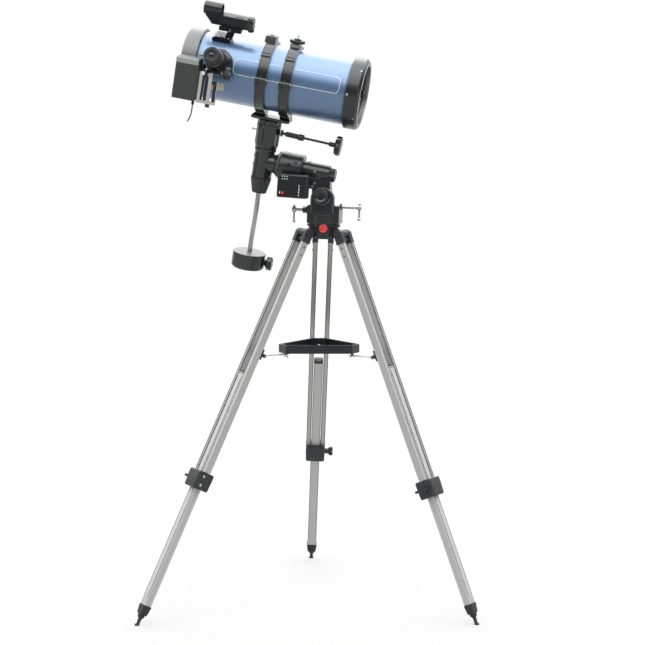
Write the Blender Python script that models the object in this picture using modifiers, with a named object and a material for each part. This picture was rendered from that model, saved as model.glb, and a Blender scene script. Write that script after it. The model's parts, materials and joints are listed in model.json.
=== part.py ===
"""A 130 mm reflector telescope on a small equatorial mount and an aluminium tripod.

Metres, +Z up. The tripod stands on Z = 0 and the origin is the middle of the footprint of the
whole object's box. Each moving piece hangs on an empty that sits on its joint's axis.
"""
from math import cos, pi, radians, sin

import bmesh
import bpy
from mathutils import Matrix, Vector

GAP = 0.0003  # between pieces that touch
INSET = 0.0004  # keeps faces of shapes that are joined out of one plane

# Tripod
HUB_HEIGHT = 0.9211
TRIPOD_LEAN = radians(2.07)  # the left leg is pulled out further, so the head leans to the right
HUB_RADIUS = 0.037
HINGE_RADIUS = 0.054
HINGE_HEIGHT = 0.006
LEG_SPLAY = radians(24.1)
LEG_AZIMUTHS = {1: 90, 2: 210, 3: 330}
CLAMP_DISTANCE = 0.6566  # down the leg from its hinge
CLAMP_SIZE = (0.044, 0.051, 0.044)
RAIL_WIDTH = 0.0120
RAIL_DEPTH = 0.0185
RAIL_SPREAD = 0.0380  # between the middles of a leg's two rails
RAIL_END = 0.6340  # just above the clamp
BRACKET_BOTTOM = 0.0245
LOWER_LEG_WIDTH = 0.0238
LOWER_LEG_DEPTH = 0.0190
LOWER_LEG_LENGTH = 0.585
FOOT_LENGTH = 0.030
FOOT_TIP_LENGTH = 0.022
BRACE_DISTANCES = {1: 0.3186, 2: 0.3186, 3: 0.3116}  # the braces are level though the head leans
BRACE_STANDOFF = 0.026  # of the brace's eye from the middle of the leg
BRACE_LENGTH = 0.070
TRAY_DROP = 0.266  # rim below the hub's middle
TRAY_CORNER_RADIUS = 0.1046
TRAY_CORNER_HALF = 0.0179
TRAY_DEPTH = 0.0215
TRAY_WALL = 0.0035

# Mount
MOUNT_YAW = radians(-8.3)
BASE_RADIUS = 0.041
SLOT_HALF = 0.0205
CHEEK_HALF = 0.034
PIVOT = Vector((-0.0018, 0.0, 0.0984))
LEFT_BOLT_HEIGHT = 0.0620
RIGHT_BOLT_HEIGHT = 0.0725
T_BOLT_CLEARANCE = 0.0020  # so that the bolts' tips follow the swinging arm without cutting it
ARM_HALF = 0.0055
LATITUDE = radians(8.9)
AXES_MEET = Vector((-0.156, 0.0, 0.1764))  # where the polar and declination axes cross
RA_TURN = radians(10.0)
DRUM_SPAN = (0.0440, 0.1012)
DRUM_RADIUS = 0.0355
PLATE_SPAN = (0.1078, 0.1150)
SHAFT_RADIUS = 0.006
COUNTERWEIGHT_SPAN = (-0.2735, -0.2335)
COUNTERWEIGHT_RADIUS = 0.0415

# Optical tube, along X from its open front end at -X
TUBE_OFFSET = 0.2095  # from the polar axis
TUBE_RADIUS = 0.080
TUBE_WALL = 0.0018
TUBE_SPAN = (-0.1887, 0.1842)
END_RING_RADIUS = 0.087
END_RING_BORE = 0.0765
FRONT_EDGE = -0.2265
REAR_EDGE = 0.2195
TUBE_RING_PLACES = (-0.0225, 0.0370)
TUBE_RING_WIDTH = 0.024
TUBE_RING_BORE = TUBE_RADIUS + GAP
TUBE_RING_RADIUS = 0.087
RING_HINGE = (-0.0930, 0.005)
FOCUSER_PLACE = -0.132
FOCUSER_TURN = radians(17.5)  # above the horizontal side of the tube
DRAW_TUBE_RADIUS = 0.0175
FOCUS_SHAFT = (-0.107, -0.027)
FINDER_TURN = radians(20.0)  # from the top of the tube
MIRROR_RADIUS = 0.065

# Box on its arm, and the cord that hangs out of it
BOX_LOW = Vector((-0.2150, -0.168, -0.0640))
BOX_HIGH = Vector((-0.1580, -0.126, 0.0360))
ARM_BARS = ((-0.1577, -0.1435), (-0.1415, -0.1245), (-0.1200, -0.1100))
ARM_BOTTOM = -0.0670
RELIEF = Vector((-0.1655, -0.1470, -0.0765))  # the end of the cord's strain relief
ARM_BACK = -0.152
ARM_PIVOT_HEIGHT = 0.003
CORD_RADIUS = 0.0015
CORD_ROUTE = (  # from the mouth of the strain relief to the free end, on the camera's side of the tube
    (0.0, 0.0, 0.0), (-0.0006, 0.0, -0.0055), (-0.0014, 0.0, -0.0110), (-0.0024, 0.0, -0.0165),
    (-0.0040, 0.0, -0.0225), (-0.0064, 0.0, -0.0285), (-0.0096, 0.0, -0.0340), (-0.0130, 0.0, -0.0385),
)

NUMBER_OF_SIDES = 24
PARTS = "telescope_on_tripod"


# ---------------------------------------------------------------- scene and materials

for old in list(bpy.data.objects):
    bpy.data.objects.remove(old, do_unlink=True)

parts = bpy.data.collections.new(PARTS)
cutters = bpy.data.collections.new("cutters")
frames = bpy.data.collections.new("frames")
for group in (parts, cutters, frames):
    bpy.context.scene.collection.children.link(group)

FINISHES = {  # colour, roughness, metallic
    "black plastic": ((0.018, 0.019, 0.021), 0.45, 0.0),
    "black enamel": ((0.012, 0.014, 0.014), 0.30, 0.1),
    "aluminium": ((0.78, 0.77, 0.74), 0.34, 1.0),
    "chrome": ((0.80, 0.80, 0.81), 0.12, 1.0),
    "blue metallic": ((0.16, 0.30, 0.52), 0.28, 0.5),
    "dark satin": ((0.035, 0.037, 0.040), 0.38, 0.2),
    "mirror": ((0.92, 0.93, 0.95), 0.03, 1.0),
    "rubber": ((0.015, 0.015, 0.016), 0.75, 0.0),
    "grey plastic": ((0.055, 0.057, 0.060), 0.50, 0.0),
}


def paint(piece, finish):
    """Give a piece a material of its own."""
    colour, roughness, metallic = FINISHES[finish]
    material = bpy.data.materials.new(piece.name)
    material.use_nodes = True
    shader = material.node_tree.nodes["Principled BSDF"]
    shader.inputs["Base Color"].default_value = (*colour, 1.0)
    shader.inputs["Roughness"].default_value = roughness
    shader.inputs["Metallic"].default_value = metallic
    piece.data.materials.clear()
    piece.data.materials.append(material)


# ---------------------------------------------------------------- frames and shapes

def frame(name, parent=None, place=(0.0, 0.0, 0.0), turn=None):
    """An empty that other pieces are placed in; turn is a rotation matrix."""
    empty = bpy.data.objects.new(name, None)
    empty.empty_display_size = 0.02
    frames.objects.link(empty)
    empty.parent = parent
    empty.matrix_local = Matrix.Translation(place) @ (turn or Matrix()).to_4x4()
    return empty


def turned_about(axis, angle):
    return Matrix.Rotation(angle, 4, axis)


def settle(piece, name, within):
    """Name a piece just made, put it with the parts and hang it in its frame."""
    piece.name = name
    piece.data.name = name
    for group in list(piece.users_collection):
        group.objects.unlink(piece)
    parts.objects.link(piece)
    piece.parent = within
    return piece


def box(name, within, low, high):
    low, high = Vector(low), Vector(high)
    bpy.ops.mesh.primitive_cube_add(size=1.0, location=(0, 0, 0))
    piece = bpy.context.object
    size = high - low
    piece.data.transform(Matrix.Translation((low + high) / 2) @ Matrix.Diagonal((*size, 1.0)))
    return settle(piece, name, within)


def rod(name, within, start, end, radius, sides=NUMBER_OF_SIDES):
    start, end = Vector(start), Vector(end)
    run = end - start
    bpy.ops.mesh.primitive_cylinder_add(vertices=sides, radius=radius, depth=run.length, location=(0, 0, 0))
    piece = bpy.context.object
    aim = run.to_track_quat("Z", "Y").to_matrix().to_4x4()
    piece.data.transform(Matrix.Translation((start + end) / 2) @ aim)
    smooth(piece)
    return settle(piece, name, within)


def smooth(piece):
    piece.data.shade_smooth()
    piece.data.set_sharp_from_angle(angle=radians(35))


def turned(name, within, profile, along="Z", steps=NUMBER_OF_SIDES):
    """A piece turned about an axis of its frame. The profile is (radius, distance along the axis),
    down its outer side first; a ring's profile comes back up its bore."""
    closed = min(radius for radius, _ in profile) > 0
    mesh = bpy.data.meshes.new(name)
    edit = bmesh.new()
    corners = [edit.verts.new((radius, 0.0, distance)) for radius, distance in profile]
    for first, second in zip(corners, corners[1:]):
        edit.edges.new((first, second))
    if closed:
        edit.edges.new((corners[-1], corners[0]))
    edit.to_mesh(mesh)
    edit.free()
    piece = bpy.data.objects.new(name, mesh)
    bpy.context.scene.collection.objects.link(piece)
    spin = piece.modifiers.new("Turn", "SCREW")
    spin.axis = "Z"
    spin.angle = 2 * pi
    spin.steps = steps
    spin.render_steps = steps
    spin.use_merge_vertices = True
    spin.merge_threshold = 0.00001
    settle(piece, name, within)
    lay = {"Z": Matrix(), "X": turned_about("Y", pi / 2), "Y": turned_about("X", -pi / 2)}[along]
    piece.matrix_local = lay
    return piece


def washer(low, high, outer, inner):
    """The profile of a plain ring."""
    return [(outer, high), (outer, low), (inner, low), (inner, high)]


def plate(name, within, outline, low, high):
    """A flat outline in the frame's XY plane, as thick as low to high."""
    mesh = bpy.data.meshes.new(name)
    edit = bmesh.new()
    face = edit.faces.new([edit.verts.new((x, y, low)) for x, y in outline])
    edit.normal_update()
    if face.normal.z > 0:
        face.normal_flip()
    edit.to_mesh(mesh)
    edit.free()
    piece = bpy.data.objects.new(name, mesh)
    bpy.context.scene.collection.objects.link(piece)
    thick = piece.modifiers.new("Thickness", "SOLIDIFY")
    thick.thickness = high - low
    thick.offset = -1.0
    return settle(piece, name, within)


def join_or_cut(target, tools, operation):
    for tool in tools:
        step = target.modifiers.new(operation.title(), "BOOLEAN")
        step.operation = operation
        step.object = tool
        step.solver = "EXACT"
        parts.objects.unlink(tool)
        cutters.objects.link(tool)
        tool.hide_render = True
        tool.display_type = "WIRE"
    return target


def join(target, *tools):
    return join_or_cut(target, tools, "UNION")


def cut(target, *tools):
    return join_or_cut(target, tools, "DIFFERENCE")


def round_edges(piece, width, segments=1):
    """Round a piece's edges, before anything is joined to it."""
    bevel = piece.modifiers.new("Bevel", "BEVEL")
    bevel.width = width
    bevel.segments = segments
    bevel.limit_method = "ANGLE"
    bevel.angle_limit = radians(40)
    return piece


def tube_along(name, within, route, radius):
    """A cord of this radius along a smooth curve through the route's points."""
    points = smooth_points([Vector(p) for p in route], 3)
    curve = bpy.data.curves.new(name, "CURVE")
    curve.dimensions = "3D"
    curve.bevel_depth = radius
    curve.bevel_resolution = 2
    curve.use_fill_caps = True
    spline = curve.splines.new("POLY")
    spline.points.add(len(points) - 1)
    for slot, point in zip(spline.points, points):
        slot.co = (*point, 1.0)
    piece = bpy.data.objects.new(name, curve)
    parts.objects.link(piece)
    piece.parent = within
    return piece


def smooth_points(route, between):
    """Points on a Catmull-Rom curve through the route."""
    ends = [2 * route[0] - route[1], *route, 2 * route[-1] - route[-2]]
    found = []
    for before, first, second, after in zip(ends, ends[1:], ends[2:], ends[3:]):
        for step in range(between):
            t = step / between
            found.append(0.5 * (
                2 * first + (second - before) * t
                + (2 * before - 5 * first + 4 * second - after) * t * t
                + (3 * first - before - 3 * second + after) * t ** 3
            ))
    return [*found, route[-1]]


# ---------------------------------------------------------------- tripod

origin = frame("object_origin")
tripod = frame("tripod_frame", origin, (0, 0, HUB_HEIGHT), turned_about("Y", TRIPOD_LEAN))


def build_hub():
    hub = turned("tripod_hub", tripod, [
        (0.0, 0.028), (BASE_RADIUS, 0.028), (BASE_RADIUS, 0.0225), (HUB_RADIUS, 0.0225),
        (HUB_RADIUS, -0.001), (0.034, -0.004), (0.0, -0.004),
    ])
    tools = [box("badge_pad", tripod, (-0.013, -0.0405, 0.001), (0.013, -0.025, 0.0226))]
    for leg, azimuth in LEG_AZIMUTHS.items():
        way = frame(f"tongue_frame_{leg}", tripod, (0, 0, HINGE_HEIGHT), turned_about("Z", radians(azimuth)))
        tools.append(box(f"tongue_{leg}", way, (0.025, -0.0115, -0.0104), (HINGE_RADIUS, 0.0115, 0.0104)))
        end = (HINGE_RADIUS, -0.0115 + INSET, 0), (HINGE_RADIUS, 0.0115 - INSET, 0)
        tools.append(rod(f"tongue_end_{leg}", way, *end, 0.011, 24))
    join(hub, *tools)
    paint(hub, "black plastic")


def build_tray():
    """A triangular tray with cut-off corners, each pointing to a leg, and a rim round it."""
    outline = []
    for azimuth in LEG_AZIMUTHS.values():
        out = Vector((cos(radians(azimuth)), sin(radians(azimuth)), 0))
        side = Vector((-out.y, out.x, 0))
        for hand in (-1, 1):
            outline.append(tuple((out * TRAY_CORNER_RADIUS + side * hand * TRAY_CORNER_HALF).xy))
    middle = frame("tray_frame", tripod, (0, 0, -TRAY_DROP - TRAY_DEPTH), turned_about("Y", -TRIPOD_LEAN))
    tray = plate("tray", middle, outline, 0.0, TRAY_DEPTH)
    inside = [(x * 0.955, y * 0.955) for x, y in outline]
    cut(tray, plate("tray_well", middle, inside, TRAY_WALL, TRAY_DEPTH + 0.01))
    paint(tray, "black plastic")


def brace_bracket(tag, hinge, distance):
    """The shapes of the bracket that carries a brace's eye; it is fixed to the left rail."""
    face = -RAIL_DEPTH / 2
    low, high = -distance - 0.0145, -distance + 0.0145
    shapes = [
        box(f"{tag}_bracket_anchor", hinge, (face - 0.002, 0.0140, low + 0.003), (face + 0.001, 0.0225, high - 0.003)),
        box(f"{tag}_bracket_plate", hinge, (face - 0.0030, -0.0220, low), (face - GAP, 0.0235, high)),
    ]
    for hand in (-1, 1):
        inner, outer = sorted((hand * 0.0115, hand * 0.0145))
        shapes.append(box(
            f"{tag}_bracket_ear", hinge,
            (-BRACE_STANDOFF, inner, -distance - 0.0055), (face - 0.002, outer, -distance + 0.0055),
        ))
        shapes.append(rod(
            f"{tag}_ear_end", hinge,
            (-BRACE_STANDOFF, inner, -distance), (-BRACE_STANDOFF, outer, -distance), 0.0055, 16,
        ))
    return shapes


def build_leg(number, azimuth):
    tag = f"leg_{number}"
    hinge = frame(
        f"{tag}_frame", tripod,
        turned_about("Z", radians(azimuth)) @ Vector((HINGE_RADIUS, 0, HINGE_HEIGHT)),
        turned_about("Z", radians(azimuth)) @ turned_about("Y", -LEG_SPLAY),
    )
    bpy.context.view_layer.update()
    down = hinge.matrix_world.to_3x3() @ Vector((0, 0, -1))
    length = -hinge.matrix_world.translation.z / down.z  # from the hinge to the floor

    cheek_inner, cheek_outer, cheek_round = 0.0120, 0.0270, 0.0120
    bracket = box(f"{tag}_bracket", hinge, (-0.0060, -cheek_inner - 0.002, -0.0175), (0.0060, cheek_inner + 0.002, -0.0120))
    tools = []
    for hand in (-1, 1):
        inner, outer = sorted((hand * cheek_inner, hand * cheek_outer))
        tools.append(box(f"{tag}_cheek", hinge, (-0.0110, inner, -BRACKET_BOTTOM), (0.0105, outer, 0.0)))
        tools.append(rod(f"{tag}_cheek_end", hinge, (0, inner, 0), (0, outer, 0), cheek_round, 24))
    join(bracket, *tools)
    paint(bracket, "black plastic")

    for hand, side in ((-1, "right"), (1, "left")):
        middle = hand * RAIL_SPREAD / 2
        rail = box(
            f"{tag}_{side}_rail", hinge,
            (-RAIL_DEPTH / 2, middle - RAIL_WIDTH / 2, -RAIL_END),
            (RAIL_DEPTH / 2, middle + RAIL_WIDTH / 2, -BRACKET_BOTTOM - GAP),
        )
        round_edges(rail, 0.0012)
        if side == "left":
            join(rail, *brace_bracket(tag, hinge, BRACE_DISTANCES[number]))
        paint(rail, "aluminium")

    depth, width, height = (size / 2 for size in CLAMP_SIZE)
    clamp = box(
        f"{tag}_clamp", hinge,
        (-depth, -width, -CLAMP_DISTANCE - height), (depth, width, -CLAMP_DISTANCE + height),
    )
    round_edges(clamp, 0.003)
    leg_bore = box(
        f"{tag}_leg_bore", hinge,
        (-LOWER_LEG_DEPTH / 2 - GAP, -LOWER_LEG_WIDTH / 2 - GAP, -0.75),
        (LOWER_LEG_DEPTH / 2 + GAP, LOWER_LEG_WIDTH / 2 + GAP, -0.5),
    )
    cut(clamp, leg_bore)
    paint(clamp, "black plastic")

    knob = rod(f"{tag}_lock_knob", hinge, (0, -0.0340, -CLAMP_DISTANCE), (0, -width - GAP, -CLAMP_DISTANCE), 0.0075, 20)
    across, along = (0.0035, 0.0130) if number == 1 else (0.0130, 0.0035)  # the front legs' wings lie level
    wings = box(
        f"{tag}_wings", hinge,
        (-across, -0.0475, -CLAMP_DISTANCE - along), (across, -0.0330, -CLAMP_DISTANCE + along),
    )
    join(knob, round_edges(wings, 0.0015))
    paint(knob, "black plastic")

    foot_top = length - FOOT_TIP_LENGTH - FOOT_LENGTH
    lower = box(
        f"{tag}_lower", hinge,
        (-LOWER_LEG_DEPTH / 2, -LOWER_LEG_WIDTH / 2, -foot_top),
        (LOWER_LEG_DEPTH / 2, LOWER_LEG_WIDTH / 2, -foot_top + LOWER_LEG_LENGTH),
    )
    paint(lower, "aluminium")

    foot = box(
        f"{tag}_foot", hinge,
        (-0.0112, -0.0135, -foot_top - FOOT_LENGTH + 0.006), (0.0112, 0.0135, -foot_top - GAP),
    )
    tip = frame(f"{tag}_tip_frame", hinge, (0, 0, -length))
    tip.matrix_world = Matrix.Translation(hinge.matrix_world @ Vector((0, 0, -length)))
    pad = rod(f"{tag}_foot_pad", tip, (0, 0, 0), (0, 0, 0.004), 0.0060, 20)
    stem = turned(f"{tag}_foot_stem", hinge, [
        (0.0, -foot_top - FOOT_LENGTH + 0.010), (0.0105, -foot_top - FOOT_LENGTH + 0.008),
        (0.0085, -foot_top - FOOT_LENGTH), (0.0045, -foot_top - FOOT_LENGTH - 0.004),
        (0.0040, -length + 0.004), (0.0, -length + 0.0035),
    ], steps=20)
    join(round_edges(foot, 0.0025), stem, pad)
    paint(foot, "rubber")

    eye_place = Vector((-BRACE_STANDOFF, 0, -BRACE_DISTANCES[number]))
    level = turned_about("Z", radians(-azimuth)) @ turned_about("Y", -TRIPOD_LEAN) @ turned_about("Z", radians(azimuth))
    eye = frame(f"{tag}_brace_frame", hinge, eye_place, turned_about("Y", LEG_SPLAY) @ level)
    brace = box(f"{tag}_brace", eye, (-BRACE_LENGTH, -0.0080, -0.0010), (-0.0040, 0.0080, 0.0010))
    roll = rod(f"{tag}_brace_eye", eye, (0, -0.0110, 0), (0, 0.0110, 0), 0.0045, 20)
    neck = box(f"{tag}_brace_neck", eye, (-0.0060, -0.0070, -0.0009), (0.0, 0.0070, 0.0009))
    join(brace, roll, neck)
    paint(brace, "chrome")
    return hinge


# ---------------------------------------------------------------- mount

azimuth = frame("azimuth_frame", tripod, (0, 0, 0), turned_about("Z", MOUNT_YAW))
latitude = frame("latitude_frame", azimuth, PIVOT)
polar = frame("polar_frame", latitude, AXES_MEET - PIVOT, turned_about("Y", LATITUDE))
ra = frame("ra_frame", polar, (0, 0, 0), turned_about("X", RA_TURN))


def build_base():
    base = rod("mount_base", azimuth, (0, 0, 0.0283), (0, 0, 0.0525), BASE_RADIUS)
    block = box("base_block", azimuth, (-0.0380, -CHEEK_HALF, 0.0295), (0.0420, CHEEK_HALF, 0.0750))
    near = [
        box("near_cheek", azimuth, (-0.0310, -CHEEK_HALF, 0.070), (0.0290, -SLOT_HALF, 0.0905)),
        rod("near_cheek_top", azimuth, (-0.0010, -CHEEK_HALF, 0.0900), (-0.0010, -SLOT_HALF, 0.0900), 0.0298, 28),
    ]
    far = [
        box("far_cheek", azimuth, (-0.0340, SLOT_HALF, 0.070), (0.0180, CHEEK_HALF, 0.0905)),
        rod("far_cheek_top", azimuth, (-0.0080, SLOT_HALF, 0.0900), (-0.0080, CHEEK_HALF, 0.0900), 0.0258, 28),
    ]
    left_nut = rod("left_nut", azimuth, (-0.0535, 0, LEFT_BOLT_HEIGHT), (-0.0350, 0, LEFT_BOLT_HEIGHT), 0.0080, 6)
    right_nut = rod("right_nut", azimuth, (0.0350, 0, RIGHT_BOLT_HEIGHT), (0.0442, 0, RIGHT_BOLT_HEIGHT), 0.0080, 6)
    join(base, block, *near, *far, left_nut, right_nut)
    slot = box("fork_slot", azimuth, (-0.0310, -SLOT_HALF, 0.0540), (0.0310, SLOT_HALF, 0.1300))
    left_bore = rod("left_bore", azimuth, (-0.07, 0, LEFT_BOLT_HEIGHT), (-0.02, 0, LEFT_BOLT_HEIGHT), 0.0046, 16)
    right_bore = rod("right_bore", azimuth, (0.02, 0, RIGHT_BOLT_HEIGHT), (0.07, 0, RIGHT_BOLT_HEIGHT), 0.0046, 16)
    cut(base, slot, left_bore, right_bore)
    paint(base, "black enamel")


def build_pivot_knob():
    knob = rod("latitude_knob", azimuth, PIVOT + Vector((0, -0.0620, 0)),
               PIVOT + Vector((0, -CHEEK_HALF - GAP, 0)), 0.0175, 32)
    paint(round_edges(knob, 0.002), "black plastic")


def build_t_bolt(name, hand, tip, head, height):
    """A bolt with a sliding bar through its head; the bar has slid down."""
    bolt = rod(name, azimuth, (tip, 0, height), (head, 0, height), 0.0042, 16)
    hub = rod(f"{name}_hub", azimuth, (head - hand * 0.004, 0, height), (head + hand * 0.006, 0, height), 0.0065, 16)
    bar = rod(f"{name}_bar", azimuth, (head + hand * 0.001, 0, height + 0.008),
              (head + hand * 0.001, 0, height - 0.028), 0.0024, 12)
    ball = rod(f"{name}_ball", azimuth, (head + hand * 0.001, 0, height - 0.033),
               (head + hand * 0.001, 0, height - 0.026), 0.0042, 12)
    join(bolt, hub, bar, ball)
    paint(bolt, "chrome")


def build_polar():
    low, high = DRUM_SPAN
    edge = 0.0015
    housing = turned("polar_housing", polar, [
        (0.0, 0.1834), (0.0150, 0.1834), (0.0165, 0.1810), (0.0165, 0.1687), (0.0225, 0.1687), (0.0225, high),
        (DRUM_RADIUS - edge, high), (DRUM_RADIUS, high - edge), (DRUM_RADIUS, low + edge),
        (DRUM_RADIUS - edge, low), (0.0, low),
    ], along="X", steps=32)
    side = SLOT_HALF - 0.0008
    tongue = box("polar_tongue", azimuth, (-0.0370, -side, 0.1140), (0.0150, side, 0.1420))
    root = box("tongue_root", azimuth, (-0.0300, -side + INSET, 0.0940), (0.0160, side - INSET, 0.1150))
    hinge = rod("tongue_hinge", azimuth, PIVOT + Vector((0, -side, 0)), PIVOT + Vector((0, side, 0)), 0.0170, 32)
    arm = box("tongue_arm", azimuth, (PIVOT.x - ARM_HALF, -0.0120, 0.0570), (PIVOT.x + ARM_HALF, 0.0120, 0.0900))
    join(housing, tongue, root, hinge, arm)
    paint(housing, "black enamel")


def build_motor_box():
    level = frame("motor_frame", polar, (0.0930, 0, -0.0428), turned_about("Y", radians(-7.0)))
    body = box("motor_box", level, (-0.0373, -0.0750, -0.0285), (0.0373, -DRUM_RADIUS - 0.0007, 0.0285))
    round_edges(body, 0.005, 2)
    cut(body, rod("button_well", level, (-0.0225, -0.0790, -0.0173), (-0.0225, -0.0710, -0.0173), 0.0054, 20))
    paint(body, "black plastic")
    button = rod("motor_button", level, (-0.0225, -0.0775, -0.0173), (-0.0225, -0.0745, -0.0173), 0.0050, 20)
    paint(button, "grey plastic")


def build_dec():
    top = 0.0362
    housing = turned("dec_housing", ra, [
        (0.0, top), (0.0270, top), (0.0270, 0.030), (0.0247, 0.027), (0.0247, -0.0370),
        (0.0255, -0.0373), (0.0255, -0.0445), (0.0178, -0.0780), (0.0, -0.0780),
    ])
    neck = rod("ra_neck", ra, (0, 0, 0), (DRUM_SPAN[0] - GAP, 0, 0), 0.0235)
    join(housing, neck)
    paint(housing, "black enamel")

    head = turned("dec_head", ra, [
        (0.0, PLATE_SPAN[0] - GAP), (0.0270, PLATE_SPAN[0] - GAP), (0.0300, 0.1040), (0.0300, 0.0410),
        (0.0285, top + GAP), (0.0, top + GAP),
    ], steps=40)
    paint(head, "black enamel")

    shaft = rod("counterweight_shaft", ra, (0, 0, -0.2725), (0, 0, -0.0783), SHAFT_RADIUS, 20)
    paint(shaft, "chrome")

    low, high = COUNTERWEIGHT_SPAN
    edge = 0.002
    weight = turned("counterweight", ra, [
        (COUNTERWEIGHT_RADIUS - edge, high), (COUNTERWEIGHT_RADIUS, high - edge),
        (COUNTERWEIGHT_RADIUS, low + edge), (COUNTERWEIGHT_RADIUS - edge, low),
        (SHAFT_RADIUS + 0.0004, low), (SHAFT_RADIUS + 0.0004, high),
    ], steps=40)
    paint(weight, "black enamel")

    middle = (low + high) / 2
    knob = turned("counterweight_knob", frame("weight_knob_frame", ra, (0, 0, middle)), [
        (0.0, 0.0620), (0.0160, 0.0620), (0.0175, 0.0600), (0.0175, 0.0480), (0.0090, 0.0460),
        (0.0080, COUNTERWEIGHT_RADIUS + 0.0008), (0.0, COUNTERWEIGHT_RADIUS + 0.0008),
    ], along="X", steps=24)
    paint(knob, "black plastic")

    control_axis = frame("control_frame", ra, (0.0303, 0, 0.0792), turned_about("Y", radians(1.7)))
    control = turned("dec_slow_control", control_axis, [
        (0.0, 0.1550), (0.0220, 0.1550), (0.0250, 0.1530), (0.0250, 0.1420), (0.0220, 0.1400),
        (0.0060, 0.1400), (0.0060, 0.1240), (0.0030, 0.1240), (0.0030, 0.0610),
        (0.0080, 0.0610), (0.0080, 0.0460), (0.0065, 0.0460), (0.0065, 0.0150),
        (0.0035, 0.0150), (0.0035, 0.0070), (0.0085, 0.0070), (0.0085, 0.0012), (0.0, 0.0012),
    ], along="X", steps=24)
    paint(control, "black plastic")

    plate_piece = box("ring_plate", ra, (-0.0450, -0.0220, PLATE_SPAN[0]), (0.0515, 0.0220, PLATE_SPAN[1]))
    paint(round_edges(plate_piece, 0.002), "black enamel")


# ---------------------------------------------------------------- optical tube

tube = frame("tube_frame", ra, (0, 0, TUBE_OFFSET))
focuser = frame("focuser_frame", tube, (0, 0, 0), turned_about("X", -FOCUSER_TURN))
finder = frame("finder_frame", tube, (0, 0, 0), turned_about("X", FINDER_TURN))


def build_shell():
    shell = turned("main_tube", tube, washer(*TUBE_SPAN, TUBE_RADIUS, TUBE_RADIUS - TUBE_WALL), along="X", steps=48)
    hole = rod("focuser_hole", focuser, (FOCUSER_PLACE, -0.10, 0), (FOCUSER_PLACE, -0.06, 0), 0.0215, 24)
    cut(shell, hole)
    paint(shell, "blue metallic")

    edge = 0.002
    front = turned("front_ring", tube, [
        (END_RING_RADIUS, TUBE_SPAN[0] - GAP), (END_RING_RADIUS, FRONT_EDGE + edge),
        (END_RING_RADIUS - edge, FRONT_EDGE), (END_RING_BORE, FRONT_EDGE), (END_RING_BORE, TUBE_SPAN[0] - GAP),
    ], along="X", steps=40)
    paint(front, "dark satin")

    face = 0.2060
    cell = turned("rear_cell", tube, [
        (END_RING_RADIUS - 0.006, REAR_EDGE), (END_RING_RADIUS, REAR_EDGE - 0.006),
        (END_RING_RADIUS, TUBE_SPAN[1] + GAP), (END_RING_BORE, TUBE_SPAN[1] + GAP),
        (END_RING_BORE, face - 0.004), (0.045, face - 0.004), (0.045, face), (0.0730, face), (0.0730, REAR_EDGE),
    ], along="X", steps=40)
    spokes = []
    for spoke in range(3):
        way = frame(f"spoke_frame_{spoke}", tube, (0, 0, 0), turned_about("X", 2 * pi * spoke / 3 + 0.5))
        spokes.append(box(f"spoke_{spoke}", way, (face - 0.004, -0.007, 0.0), (face - 0.0005, 0.007, 0.050)))
        spokes.append(rod(f"mirror_post_{spoke}", way, (0.1865, 0, 0.040), (face - 0.002, 0, 0.040), 0.004, 12))
    join(cell, rod("cell_hub", tube, (face - 0.004, 0, 0), (face, 0, 0), 0.018, 24), *spokes)
    paint(cell, "dark satin")


def build_mirrors():
    sag = 0.0010
    mirror = turned("primary_mirror", tube, [
        (0.0, 0.1860), (MIRROR_RADIUS, 0.1860), (MIRROR_RADIUS, 0.1680),
        *[(MIRROR_RADIUS * (1 - k / 3), 0.1680 + sag * (1 - (1 - k / 3) ** 2)) for k in range(1, 4)],
    ], along="X", steps=32)
    paint(mirror, "mirror")

    stalk = rod("secondary_holder", tube, (-0.1780, 0, 0), (-0.1150, 0, 0), 0.0185, 24)
    slope = frame("diagonal_frame", focuser, (FOCUSER_PLACE, 0, 0), turned_about("Z", radians(-45)))
    cut(stalk, box("diagonal_cut", slope, (0, -0.06, -0.03), (0.06, 0.06, 0.03)))
    reach = TUBE_RADIUS - TUBE_WALL - 0.0006
    vanes = [
        box("vane_y", focuser, (-0.1780, -reach, -0.0008), (-0.1660, reach, 0.0008)),
        box("vane_z", focuser, (-0.1780, -0.0008, -reach), (-0.1660, 0.0008, reach)),
    ]
    join(stalk, *vanes)
    paint(stalk, "dark satin")


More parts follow.
